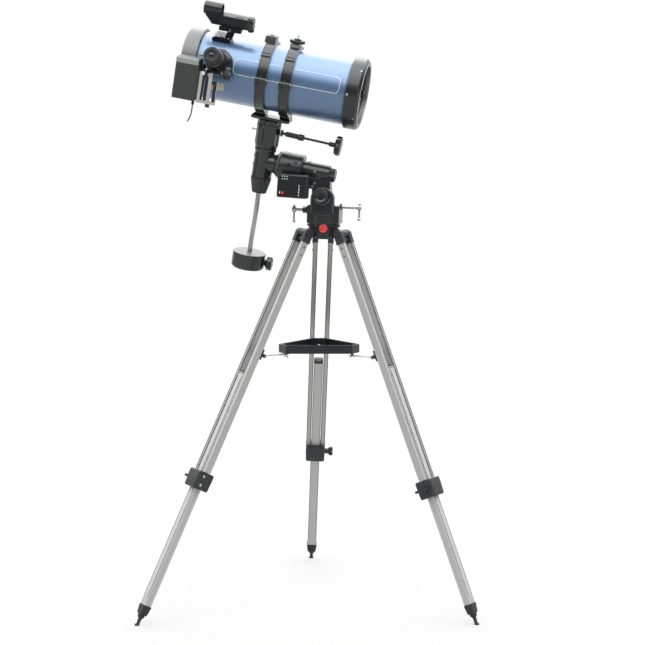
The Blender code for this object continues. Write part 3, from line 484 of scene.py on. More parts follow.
    def done(self, body, *nodes, slot="black_plastic"):
        bmesh.ops.scale(self.whole, vec=(MM, MM, MM), verts=self.whole.verts)
        mesh = bpy.data.meshes.new(self.name)
        self.whole.to_mesh(mesh)
        self.whole.free()
        for material in self.materials:
            mesh.materials.append(material)
        mesh.set_sharp_from_angle(angle=radians(32))
        piece = bpy.data.objects.new(self.name, mesh)
        SCENE.collection.objects.link(piece)
        piece.matrix_world = self.within
        bpy.context.view_layer.update()
        even = piece.modifiers.new("Even shading", "WEIGHTED_NORMAL")
        even.keep_sharp = True
        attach(piece, body)
        if nodes:
            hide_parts(*nodes)


def arch(x0, x1, foot, middle, radius, steps=20):
    """The outline of a plate with a round top."""
    cx, cz = middle
    turns = [pi * k / steps for k in range(steps + 1)]
    round_top = [(cx + radius * cos(a), cz + radius * sin(a)) for a in turns]
    return [(x1, foot), *round_top, (x0, foot)]


# ---- the cord comes first

CORD_ROUTE = (
    (0, 0, 0), (-0.0006, 0, -0.0055), (-0.0014, 0, -0.011), (-0.0024, 0, -0.0165),
    (-0.004, 0, -0.0225), (-0.0064, 0, -0.0285), (-0.0096, 0, -0.034), (-0.013, 0, -0.0385),
)


def smooth_points(route, between):
    ends = [2 * route[0] - route[1], *route, 2 * route[-1] - route[-2]]
    found = []
    for before, first, second, after in zip(ends, ends[1:], ends[2:], ends[3:]):
        for step in range(between):
            t = step / between
            found.append(0.5 * (2 * first + (second - before) * t
                                + (2 * before - 5 * first + 4 * second - after) * t * t
                                + (3 * first - before - 3 * second + after) * t ** 3))
    return [*found, route[-1]]


def build_cord():
    mouth = (TUBE @ place(-165.5, -147, -77.1)).translation
    points = [mouth + p for p in smooth_points([Vector(p) for p in CORD_ROUTE], 3)]
    curve = bpy.data.curves.new("hanging_cord", "CURVE")
    curve.dimensions = "3D"
    curve.bevel_depth = 0.0015
    curve.bevel_resolution = 5
    curve.use_fill_caps = True
    spline = curve.splines.new("POLY")
    spline.points.add(len(points) - 1)
    for slot, point in zip(spline.points, points):
        slot.co = (*point, 1)
    cord = bpy.data.objects.new("hanging_cord", curve)
    SCENE.collection.objects.link(cord)
    cord.data.materials.append(RUBBER)
    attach(cord, "camera_arm")
    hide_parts("box_cord")


# ---- tripod

def build_hub():
    hub = Form("hub_casting", HUB, PLASTIC)
    hub.lathe(solid((41, 28), (41, 22.5), (37, 21.5), (37, -1), (34, -4)), 96, 1)
    hub.hoop(band(41.3, 40.5, 26.5, 24.5), 96, material=SMOOTH)
    for azimuth in LEGS.values():
        way = turn("Z", azimuth)
        hub.box((25, -11.3, -5), (54, 11.3, 15.5), 1.2, way)
        hub.lathe(disc(10.8, -11.5, 11.5), 48, 0.8, lay=way @ shift(54, 0, 6) @ turn("X", -90))
        hub.box((30, -6, 14.8), (46, 6, 17.5), 1, way)
    hub.box((-13, -41.6, 1), (13, -30, 22), 2)
    hub.lathe(disc(11.6, 0, 4), 48, 0.8, "Y", (-1, -42.9, 16.2), material=SMOOTH)
    hub.done("hub", "tripod_hub")
    badge = Form("round_badge", HUB, RED)
    badge.lathe(solid((7.6, 0.4), (8, 0), (9.6, 0), (10.2, 0.6), (10.2, 1.6)), 64, 0.2, "Y",
        (-1, -44.2, 18.8))
    badge.done("hub")


def build_tray():
    tray = Form("spreader_tray", TRAY, NAVY)

    def triangle(scale):
        outline = []
        for azimuth in LEGS.values():
            out = Vector((cos(radians(azimuth)), sin(radians(azimuth))))
            side = Vector((-out.y, out.x))
            outline += [out * (104.6 * scale) + side * hand * (17.9 * scale) for hand in (-1, 1)]
        return outline

    tray.prism([tuple(p) for p in triangle(0.975)], 0.2, 3.6, edge=0.8)
    outer, inner = triangle(1), triangle(0.955)
    part = bmesh.new()
    rows = []
    for outline, level in ((triangle(0.985), 0), (outer, 1.5), (outer, 20.2), (triangle(0.992), 21.5),
            (triangle(0.967), 21.5), (inner, 20.4), (inner, 3), (triangle(0.9), 0)):
        rows.append([part.verts.new((p.x, p.y, level)) for p in outline])
    join(part, [*rows, rows[0]])
    tray.put(part)
    tray.lathe(solid((13, 5.2), (14, 3.2)), 48, 0.5)
    tray.hoop(band(23, 20.6, 5, 3.4), 64)
    for azimuth in LEGS.values():
        way = turn("Z", azimuth)
        tray.box((24, -0.9, 3.2), (84, 0.9, 5.6), 0.4, way)
        tray.hoop(band(9, 6.6, 5.2, 3.4), 40, lay=way @ shift(88, 0, 0))
        tray.lathe(solid((3.4, 6.2), (4.4, 3.2)), 24, lay=way @ shift(94, 0, 0), material=STEEL)
    tray.done("tray", "tray")
    for number, azimuth in LEGS.items():
        nut = Form(f"tray_wing_nut_{number}", TRAY @ turn("Z", azimuth) @ place(94, 0, 0), SMOOTH)
        nut.rod((0, 0, -4.5), (0, 0, -0.2), 3.2, 24)
        for hand in (-1, 1):
            nut.sweep([(0, hand * 2, -4), (0, hand * 5, -7), (0, hand * 8.5, -10.5)], 1.3, 12)
        nut.done("tray")


def rail_outline(hand):
    """The section of one rail: a box with a groove down each face and a channel on its inner side."""
    section = [(-7.6, 13), (-7.6, 16), (-9.25, 16.3), (-9.25, 24.2), (-8.6, 25), (8.6, 25), (9.25, 24.2),
        (9.25, 16.3), (7.6, 16), (7.6, 13), (6, 13), (6, 15), (-6, 15), (-6, 13)]
    return [(x, hand * y) for x, y in section]


def build_leg(number):
    leg, body = leg_frame(number), f"leg_{number}"
    bracket = Form(f"{body}_hinge_bracket", leg, PLASTIC)
    for hand in (-1, 1):
        low, high = sorted((hand * 12.2, hand * 26.8))
        bracket.prism(arch(-11, 10.5, -24.5, (0, 0), 11.6), low, high, "Y", 1.4)
        face = shift(0.5, hand * 26.6, -1) @ turn("X", -90 * hand)
        bracket.hoop(band(8.6, 6.6, 0, 1.6), 40, 0.3, lay=face, material=SMOOTH)
        bracket.lathe(solid((3.2, 1), (4, 0.2), (4, -0.5)), 6, lay=face, material=SMOOTH)
        bracket.box((-11.6, low - 0.2, -24.5), (11, high + 0.2, -20.5), 0.8)
    bracket.box((-6, -14, -17.5), (6, 14, -12), 1)
    bracket.done(body, f"{body}_bracket")

    rail_name = {-1: "right", 1: "left"}
    for hand in (-1, 1):
        rail = Form(f"{body}_{rail_name[hand]}_extrusion", leg, PLASTIC)
        rail.prism(rail_outline(hand), RAIL_END, -24.8, "Z", 0, material=BARE)
        # Thin dark strips of painted shade down the rail's step and side groove
        strips = [(13, 16, 7.55, 7.8)] if number > 1 else [(13, 14.3, 7.55, 7.8)]
        if NEAR_RAIL.get(number) != hand:
            strips.append((20.8, 24.4, 9.2, 9.35) if number > 1 else (23.2, 24.3, 9.2, 9.35))
        for inner, outer, low, high in strips:
            y0, y1 = sorted((hand * inner, hand * outer))
            for x0, x1 in ((-high, -low), (low, high)):
                rail.box((x0, y0, RAIL_END + 1), (x1, y1, -26), 0, material=PAINTED_GROOVE_SHADE)
        # A strip of painted shade along the floor of the rail's channel
        y0, y1 = sorted((hand * 14.8, hand * 15.05))
        rail.box((-5.9, y0, RAIL_END + 1), (5.9, y1, -26), 0, material=PAINTED_SHADE_ALUMINIUM)
        if hand == 1:
            distance = BRACE_DISTANCES[number]
            rail.box((-13.6, -24.6, -distance - 13.5), (-10.4, 25.4, -distance + 13.5), 1)
            for ear in (-1, 1):
                low, high = sorted((ear * 11.6, ear * 14.4))
                end = [(-26 - 4.2 * sin(pi * k / 12), -distance + 4.2 * cos(pi * k / 12)) for k in range(13)]
                rail.prism([(-11, -distance - 5), (-11, -distance + 5), *end], low, high, "Y", 0.5)
                for rise in (9, -9):
                    rail.screw((-12.4, ear * 18, rise - distance), (-1, 0, 0), 2, material=STEEL)
            rail.rod((-26, -15.2, -distance), (-26, 15.2, -distance), 1.7, 20, material=STEEL)
        rail.done(body, f"{body}_{rail_name[hand]}_rail", slot="satin_aluminium")
    screws = Form(f"{body}_rail_screws", leg, BRASS)
    for drop in ((36, 56.5) if number > 1 else (30, 50)):
        for hand in (-1, 1):
            screws.screw((-1, hand * 25, -drop), (0, hand, 0), 2.9, 1.6)
    screws.done(body, slot="steel_strip")

    clamp = Form(f"{body}_clamp_block", leg, PLASTIC)
    outer = [(-22, -25.5), (22, -25.5), (22, 25.5), (-22, 25.5)]
    hole = [(-9.8, -12.2), (9.8, -12.2), (9.8, 12.2), (-9.8, 12.2)]
    part = bmesh.new()
    rows = []
    for shape, scale, level in ((outer, 0.93, 22), (outer, 1, 19), (outer, 1, 2), (outer, 0.985, -1),
            (outer, 0.97, -19), (outer, 0.9, -22), (hole, 1, -22), (hole, 1, 22)):
        rows.append([part.verts.new((x * scale, y * scale, CLAMP_MIDDLE + level)) for x, y in shape])
    join(part, [*rows, rows[0]])
    upright = [e for e in part.edges if abs((e.verts[0].co - e.verts[1].co).normalized().z) > 0.4
               and max(abs(v.co.x) for v in e.verts) > 12]
    bmesh.ops.bevel(part, geom=upright, offset=3, segments=3, profile=0.5, affect="EDGES")
    clamp.put(part)
    for level in (-11, 11) if number == 2 else ():
        clamp.screw((4, 25.2, CLAMP_MIDDLE + level), (0, 1, 0), 3.2, 1.2, material=STEEL)
    clamp.done(body, f"{body}_clamp")

    knob = Form(f"{body}_lock_wing", leg, SMOOTH)
    knob.rod((0, -33.8, CLAMP_MIDDLE), (0, -25.8, CLAMP_MIDDLE), 7.3, 40, 0.8)
    if number == 1:
        lobes = [(-33.2, -6), (-33.2, 6), (-36.5, 10.5), (-41, 12.8), (-45.5, 12), (-47.3, 8), (-46.2, 2.5),
            (-45.4, 0), (-46.2, -2.5), (-47.3, -8), (-45.5, -12), (-41, -12.8), (-36.5, -10.5)]
        knob.prism([(y, CLAMP_MIDDLE + z) for y, z in lobes], -4.2, 4.2, "X", 1.4)
    else:
        wing = [(-5, -33.2), (5, -33.2), (18.2, -42.5), (17.4, -47.3), (5, -46.5), (0, -44.6), (-5, -46.5),
            (-17.4, -47.3), (-18.2, -42.5)]
        knob.prism(wing, CLAMP_MIDDLE - 3.2, CLAMP_MIDDLE + 3.2, "Z", 1)
    knob.done(f"{body}_lock", f"{body}_lock_knob")

    length = LEG_LENGTHS[number]
    foot_top = -(length - 52)
    top = foot_top + INNER_TUBE_LENGTHS[number]
    lower = Form(f"{body}_inner_tube", leg, LEG_TUBE)
    section = [(-9.5, -11), (-9.5, 11), (-8.6, 11.9), (-1.5, 11.9), (-1.2, 11.1), (1.2, 11.1), (1.5, 11.9),
        (8.6, 11.9), (9.5, 11), (9.5, -11), (8.6, -11.9), (1.5, -11.9), (1.2, -11.1), (-1.2, -11.1),
        (-1.5, -11.9), (-8.6, -11.9)]
    lower.prism(section, foot_top, top, "Z", 0)
    # Dark strips of painted shade down the inner tube's sides
    for x0, x1 in ((-9.65, -9.45), (9.45, 9.65)):
        for y0, y1 in ((-10.6, -8.2), (8.2, 10.6)) if number > 1 else ((-10.4, -9.7), (9.7, 10.4)):
            lower.box((x0, y0, foot_top + 20), (x1, y1, top - 12), 0, material=PAINTED_GROOVE_SHADE)
        # A wide band of painted shade down the inner tube's sides, on the front legs only
        if number > 1:
            lower.box((x0, -8.2, foot_top + 20), (x1, 8.2, top - 12), 0, material=PAINTED_SHADE_ALUMINIUM)
    lower.done(f"{body}_extension", f"{body}_lower", slot="satin_aluminium")
    cap = Form(f"{body}_stopper", leg, PLASTIC)
    cap.box((-9.9, -11.4, top - 8.5), (3, 11.4, top + 5), 1.2)
    cap.box((-10.1, -6, top + 0.5), (-9, 6, top + 3.5), 0.4, material=PALE_GREY_AND_HIGHLIGHT)
    cap.box((2, -11.6, top - 4), (9.7, 11.6, top - 2), 0.5)
    cap.done(f"{body}_extension")

    foot = Form(f"{body}_rubber_foot", leg, RUBBER)
    foot.block(((-9, 9), (-11, 11), foot_top - 24), ((-11.2, 11.2), (-13.5, 13.5), foot_top - 0.4), 1.6)
    foot.lathe([(0, foot_top - 20), (9.4, foot_top - 21), (8.4, foot_top - 30), (4.6, foot_top - 34),
        (4.1, -length + 6), (3.6, -length + 4.4), (0, -length + 4.2)], 40, 1)
    tip = leg.inverted() @ Matrix.Translation(leg @ Vector((0, 0, -length * MM)))
    foot.lathe(solid((5.4, 4.2), (6, 3.4), (6, 0.1)), 40, 0.3, lay=in_millimetres(tip))
    foot.done(f"{body}_extension", f"{body}_foot", slot="rubber")

    brace = Form(f"{body}_spreader_strip", brace_frame(number), STEEL)
    brace.box((-70, -7.8, -0.9), (-5.5, 7.8, 0.9), 0.4)
    brace.box((-68, -4.5, -1.5), (-14, 4.5, -0.7), 0.3)
    brace.hoop(band(4.4, 2, -10.8, 10.8), 32, 0.4, "Y")
    brace.box((-7, -6.5, -0.9), (-2.5, 6.5, 0.9), 0.3)
    brace.done(f"{body}_strut", f"{body}_brace", slot="steel_strip")


# ---- mount

def build_base():
    base = Form("mount_casting", MOUNT, ENAMEL)
    base.lathe(solid((40.8, 52.5), (41, 50), (41, 31), (40.2, 28.5)), 96, 0.8)
    base.box((-38, -34, 31), (42, 34, 54.6), 1.6)
    base.box((-38, -34, 52), (-31.2, 34, 75), 1.6)
    base.box((31.2, -34, 52), (42, 34, 75), 1.6)
    base.prism(arch(-31, 29, 52, (-1, 90), 29.6, 28), -34, -20.6, "Y", 1.2)
    base.prism(arch(-34, 18, 52, (-8, 90), 25.6, 28), 20.6, 34, "Y", 1.2)
    base.box((-31.8, -34.2, 52), (31.8, -20.6, 75), 1)
    base.box((-31.8, 20.6, 52), (31.8, 34.2, 75), 1)
    # A light line round the arch's edge: a painted highlight
    rim = [(-1 + 27.2 * cos(pi * k / 28), -34.3, 90 + 27.2 * sin(pi * k / 28)) for k in range(29)]
    base.sweep([(26.2, -34.3, 56), *rim, (-28.2, -34.3, 56)], 0.8, 10, material=PAINTED_EDGE_HIGHLIGHT)
    # A light arc round the lower side of the pivot boss: a painted highlight
    base.sweep([(-1.8 + 21 * cos(a), -34.3,
        98.4 + 21 * sin(a)) for a in [radians(200 + 140 * k / 24) for k in range(25)]], 0.7, 10,
        material=PALE_GREY_AND_HIGHLIGHT)
    for x0, x1, height in ((-53.5, -37.6, 62), (38, 44.2, 72.5)):
        base.hoop(band(8.2, 4.5, x0, x1), 6, 0.5, "X", (0, 0, height))
    base.hoop([(7.2, -46.5), (8.9, -45.5), (8.9, -39.5), (4.6, -39.5), (4.6, -46.5)], 40, 0.4, "X",
        (0, 0, 62))
    base.done("base", "mount_base", slot="black_enamel")

    knob = Form("latitude_pivot_knob", PIVOT, SMOOTH)
    knob.lathe([(0, -59), (10, -59.5), (14.5, -61.8), (16.5, -61.8), (17.4, -60), (17.4, -40), (15.5, -36.5),
        (15.5, -34.6), (0, -34.6)], 160, 0.6, "Y", wave=(40, 0.5, 17))
    knob.lathe(solid((5, -61), (5.8, -60), (5.8, -58.5)), 6, along="Y")
    knob.done("latitude_knob", "latitude_knob")


def build_t_bolt(name, hand, start, head, height):
    bolt = Form(f"{name}_screw", MOUNT, STEEL)
    bolt.rod((start, 0, height), (head, 0, height), 4.1, 96, 0.5)
    for k in range(int(abs(head - start) / 2.2)):
        spot = start + hand * (1.5 + 2.2 * k)
        bolt.hoop([(4.22, -0.5), (4.22, 0.5), (3.6, 0.9), (3.6, -0.9)], 32, along="X", at=(spot, 0, height))
    middle = head + hand * 1
    bolt.rod((head - hand * 4, 0, height), (head + hand * 6, 0, height), 6.4, 40, 1)
    bolt.rod((middle, 0, height + 8), (middle, 0, height - 28), 2.3, 24, 0.3)
    for level in (8, -29):
        size = 4 if level < 0 else 3.4
        bolt.lathe([(size * sin(pi * k / 12), size * -cos(pi * k / 12)) for k in range(13)], 28,
            at=(middle, 0, height + level))
    bolt.done(name, name, slot="chrome")


def build_polar():
    housing = Form("polar_axis_casting", POLAR, ENAMEL)
    housing.lathe(solid((34.4, 101.2), (35.5, 99.8), (35.5, 46), (34.2, 44)), 112, 0.6, "X", material=FLUTED)
    for spot in (52, 58.5, 93.5):
        housing.hoop(band(35.9, 35, -0.7, 0.7), 112, along="X", at=(spot, 0, 0))
    housing.hoop(band(36, 30, 95.5, 101.3), 10, 0.4, "X")
    housing.lathe(disc(22.5, 168.7, 100), 80, 1.6, "X")
    housing.hoop(band(24.2, 22.2, 110, 118), 80, 0.8, "X")
    housing.lathe(solid((10.5, 182.6), (11.5, 183.4), (14.9, 183.4), (16.4, 181.2), (16.4, 168.5)), 160, 0.5,
        "X", wave=(40, 0.7, 16), material=SMOOTH)
    for spot, height in ((68, 6), (84, -9)):
        lay = turn("X", 75 + height)
        housing.lathe(solid((2.4, 1.2), (3.6, 2.2), (4.2, 1.6), (4.2, -1)), 28,
            lay=shift(spot, 0, 0) @ lay @ shift(0, 0, 35.4), material=SMOOTH)
    level = in_millimetres(POLAR.inverted() @ MOUNT)
    side = 19.4
    housing.box((-37, -side, 114), (15, side, 142), 1.6, level)
    housing.box((-30, -side + 0.4, 94), (16, side - 0.4, 116), 1.2, level)
    housing.lathe(disc(17, -side, side), 64, 0.8, "Y", (-1.8, 0, 98.4), lay=level)
    housing.box((-7.2, -11.8, 57), (3.6, 11.8, 92), 1.2, level)
    for spot, side, height in ((-24, 22.4, 157), (-24, 19.4, 128), (-29, 19.4, 120)):
        housing.lathe(solid((1.3, 0.6), (1.6, 1.3), (2.6, 1.3), (3.2, 0.6), (3.2, -1)), 24,
            lay=level @ shift(spot, -side, height) @ turn("X", 90), material=STEEL)
    housing.done("polar", "polar_housing", slot="black_enamel")


def build_motor_box():
    box = Form("drive_box_case", MOTOR, SMOOTH)
    box.box((-37.3, -75, -28.5), (37.3, -36.2, 28.5), 4.6, segments=4, material=PLASTIC)
    box.box((-34.6, -75.35, -25.8), (34.6, -74, 25.8), 0.9, segments=3)
    box.box((-37.5, -57.2, -25), (37.5, -56.2, 25), 0.3)
    box.hoop(band(5.4, 4, 0, 0.9), 32, along="Y", at=(-22.5, -76.2, -17.3))
    for x, z in ((-34, 24.5), (34, 24.5), (-34, -24.5), (34, -24.5)):
        box.screw((x, -74.9, z), (0, -1, 0), 1.5, 0.7)
    box.done("polar", "motor_box")
    marks = Form("drive_box_marks", MOTOR, WHITE)
    marks.box((-30.2, -75.55, -20), (-28.7, -75.2, -13.4), 0.1)
    for k, size in enumerate((2.6, 1.2, 2.6, 1.2, 2.6, 1.2, 2.6)):
        level = 2.6 - 3.9 * k
        marks.box((16.4, -75.55, level - size / 2), (18.6, -75.2, level + size / 2), 0.1)
    for k in range(3):
        for level in (23, 17):
            marks.hoop(band(1.7, 0.9, 0, 0.4), 20, along="Y", at=(-25 + 6 * k, -75.6, level),
                material=GREEN_DOT)
    marks.done("polar")
    button = Form("drive_button", MOTOR, RED)
    button.lathe([(0, -76.2), (2.6, -76.3), (3.4, -75.8), (3.4, -74.6), (0, -74.6)], 40, 0.3, "Y",
        (-22.5, 0, -17.3))
    button.done("motor_button", "motor_button", slot="box_plastic")


def build_dec():
    housing = Form("declination_casting", RA, ENAMEL)
    housing.lathe(solid((26.8, 36.2), (27, 34.5), (27, 30), (24.7, 27), (24.7, -36.6)), 96, 0.7)
    housing.lathe([(0, -36.8), (25.5, -37.2), (25.5, -44.5), (17.8, -78), (0, -78)], 192, 0.7,
        wave=(24, 1.1, 17), material=SMOOTH)
    housing.lathe(solid((23.5, 0), (23.5, 30), (27, 34), (30, 40), (30, 43.6)), 80, 0.8, "X")
    housing.hoop(band(33.5, 25, 37, 43.6), 8, 0.8, "X")
    for level in (-8, 14):
        housing.screw((-24.4, -3, level), (-1, -0.1, 0), 3, 1.6, material=SMOOTH)
    housing.hoop(band(25.3, 24.2, 20, 24), 96, 0.3)
    housing.done("ra", "dec_housing", slot="black_enamel")

    head = Form("declination_head", RA, ENAMEL)
    head.lathe(solid((27, 107.4), (29.8, 104), (29.8, 47), (26.8, 37.5), (25.5, 36.6)), 240, 0.8,
        wave=(8, 2.8, 28.5))
    head.hoop(band(30.1, 29.2, 88, 96), 96, 0.5)
    head.rod((-28, -4, 77.6), (-39, -4, 77.6), 1.8, 24, material=STEEL)
    head.rod((-37, -4, 77.6), (-40.5, -4, 77.6), 3, 32, 0.5, material=STEEL)
    head.done("ra", "dec_head", slot="black_enamel")

    control = Form("slow_motion_control", CONTROL, SMOOTH)
    control.lathe([(0, 1.4), (8.4, 1.4), (8.4, 7), (3.6, 7), (3.6, 13)], 48, 0.5, "X")
    control.lathe([(0, 12), (5.4, 13), (6.5, 16), (6.5, 44.5), (0, 44.5)], 96, 0.6, "X", wave=(12, 0.7, 6))
    control.lathe(solid((6.2, 44.5), (8, 46.5), (8, 59), (6.5, 60.8)), 48, 0.6, "X", material=ENAMEL)
    control.lathe(disc(2.9, 60, 125), 32, along="X")
    for k in range(20):
        control.hoop([(3.15, -0.7), (3.15, 0.7), (2.7, 1.1), (2.7, -1.1)], 24, along="X",
            at=(62 + 3.2 * k, 0, 0))
    control.lathe(solid((5, 124), (6, 126), (6, 140)), 40, 0.5, "X")
    control.lathe(solid((16, 155), (18, 154), (22, 154.6), (24, 153), (24.6, 150), (24.6, 144), (22, 140.4),
        (8, 139.4)), 240, 0.6, "X", wave=(8, 2.6, 21))
    control.done("slow_control", "dec_slow_control")

    plate = Form("tube_saddle_plate", RA, ENAMEL)
    plate.box((-45, -22, 107.8), (51.5, 22, 115), 1.8, segments=3)
    plate.box((-40, -18, 106.4), (46, 18, 108.4), 0.8)
    for x in (-36, 44):
        plate.lathe(solid((4.2, 104.6), (5, 105.4), (5, 108)), 6, 0.3, at=(x, 0, 0), material=STEEL)
    plate.done("dec", "ring_plate", slot="black_enamel")

    shaft = Form("counterweight_bar", RA, TWIST)
    points = [(0, -272.5), (5.2, -272.5), *[(6, -271.5 + 2 * k) for k in range(97)], (0, -78.4)]
    shaft.lathe(points, 80, wave=(5, 1.2, 5.5, 0.05))
    shaft.done("dec", "counterweight_shaft", slot="chrome")

    weight = Form("counterweight_body", RA, IRON)
    weight.hoop([(40.6, -233.6), (41.5, -235.2), (41.5, -268), (38, -273.2), (6.6, -273.4), (6.6, -233.6)],
        112, 1)
    weight.hoop(band(40.2, 6.6, -233.4, -234.2), 96, material=CAST)
    weight.hoop(band(10.5, 6.6, -232.9, -234), 48, material=PALE_GREY_AND_HIGHLIGHT)
    weight.done("counterweight", "counterweight", slot="weight_iron")

    knob = Form("counterweight_star_knob", WEIGHT_KNOB, SMOOTH)
    knob.lathe([(0, 61.4), (9, 61.8), (15, 61.4), (17.3, 59), (17.3, 49.5), (15, 47), (8.6, 45.6),
        (7.8, 42.4), (0, 42.4)], 160, 0.8, "X", wave=(6, 3.8, 13))
    knob.done("counterweight_knob", "counterweight_knob")


# ---- optical tube

def wrapped(form, start, end, radius, outline, width, material):
    """A thin raised strip along an outline of (x, angle) points laid on the tube."""
    count = len(outline)
    part = bmesh.new()
    rings = []
    for index in range(count):
        before, here, after = outline[index - 1], outline[index], outline[(index + 1) % count]
        run = Vector((after[0] - before[0], (after[1] - before[1]) * radius)).normalized()
        across = Vector((-run.y, run.x)) * width / 2
        corners = []
        for hand, lift in ((-1, start), (-1, end), (1, end), (1, start)):
            x = here[0] + across.x * hand
            angle = here[1] + across.y * hand / radius
            corners.append(part.verts.new((x, -(radius + lift) * cos(angle), (radius + lift) * sin(angle))))
        rings.append(corners)
    join(part, [*rings, rings[0]])
    form.put(part, material)


def decal_outline(x0, x1, low, high, corner, steps=6):
    """A rounded rectangle of (x, angle in radians) on the tube."""
    found = []
    for cx, cy, first in ((x1 - corner, high - corner, 0), (x0 + corner, high - corner, 90),
            (x0 + corner, low + corner, 180), (x1 - corner, low + corner, 270)):
        for k in range(steps + 1):
            angle = radians(first + 90 * k / steps)
            found.append((cx + corner * cos(angle), cy + corner * sin(angle)))
    full = []
    for (xa, ya), (xb, yb) in zip(found, found[1:] + found[:1]):
        pieces = max(1, ceil(abs(yb - ya) / 3))
        full += [(xa + (xb - xa) * k / pieces,
            (ya + (yb - ya) * k / pieces) / TUBE_RADIUS) for k in range(pieces)]
    return full


def build_shell():
    shell = Form("tube_shell", TUBE, LACQUER)
    shell.hoop(band(TUBE_RADIUS, 78.2, -188.7, 184.2), 160, along="X")
    shell.hoop(band(78.25, 77.9, -188, 183.5), 96, along="X", material=FLAT_BLACK)
    for spot in (-186.6, 182.2):
        shell.hoop(band(80.12, 79.8, -1.3, 1.3), 160, along="X", at=(spot, 0, 0), material=LINE_BLUE)
    wrapped(shell, -0.05, 0.12, TUBE_RADIUS, decal_outline(-94, 167, 4, 44, 11), 1, CREAM)
    shell.done("tube", "main_tube", slot="blue_lacquer")
    label = Form("plain_label", TUBE, LABEL)
    part = bmesh.new()
    rows = []
    for k in range(9):
        angle = radians(-18 - 1.9 * k)
        rows.append([part.verts.new((x, -(TUBE_RADIUS + lift) * cos(angle),
            (TUBE_RADIUS + lift) * sin(angle))) for x, lift in ((-152, -0.1), (-152, 0.2), (-112, 0.2),
            (-112, -0.1))])
    join(part, rows)
    part.faces.new(rows[0])
    part.faces.new(rows[-1])
    label.put(part)
    label.done("tube", slot="blue_lacquer")

    front = Form("front_end_ring", TUBE, SATIN)
    front.hoop([(86.6, -189), (87, -190.5), (87, -222), (84.5, -226.3), (79, -226.4), (76.6, -224),
        (76.6, -189)], 160, 1, "X")
    front.hoop(band(87.15, 86.6, -193.5, -190.5), 160, 0.2, "X")
    front.hoop(band(76.9, 76.55, -224, -189.5), 96, along="X", material=FLAT_BLACK)
    front.done("tube", "front_ring", slot="dark_satin")

    cell = Form("mirror_cell", TUBE, STEEL)
    cell.hoop([(80.6, 219.4), (86.9, 213.6), (86.9, 185.4), (86, 184.6), (76.6, 184.6), (76.6, 202),
        (45, 202), (45, 206), (73.2, 206), (73.2, 219.4)], 160, 0.9, "X", material=CELL)
    cell.hoop(band(73.6, 71.6, 219.6, 208), 96, 0.4, "X")
    cell.lathe(disc(18, 202, 206), 64, 0.5, "X", material=CELL)
    for spoke in range(3):
        way = turn("X", 120 * spoke + 28.65)
        cell.box((202, -7, 8), (205.6, 7, 47), 0.6, way, material=CELL)
        lay = way @ shift(0, 0, 40)
        cell.lathe(disc(4, 186.6, 204), 24, along="X", lay=lay)
        cell.lathe(solid((5.2, 213), (6.2, 212), (6.2, 205.4)), 96, 0.4, "X", wave=(16, 0.6, 6), lay=lay,
            material=SMOOTH)
        cell.lathe([(0, 207), (2.2, 208.6), (3.2, 207.6), (3.2, 205), (0, 205)], 24, along="X",
            lay=way @ shift(0, 16, 30))
    for angle, along, radius in ((85, 189.5, 2.6), (205, 189.5, 2.6), (325, 189.5, 2.6), (42, 211, 2.2),
            (125, 211, 2.2), (232, 211, 2.2), (300, 211, 2.2)):
        cell.lathe(solid((radius * 0.7, 87.9), (radius, 87.3), (radius, 86)), 24,
            lay=turn("X", angle) @ shift(along, 0, 0))
    cell.done("tube", "rear_cell", slot="dark_satin")
    frame["nodes"]["primary_mirror"].data.materials.clear()
    frame["nodes"]["primary_mirror"].data.materials.append(MIRROR)
    frame["nodes"]["secondary_holder"].data.materials.clear()
    frame["nodes"]["secondary_holder"].data.materials.append(FLAT_BLACK)


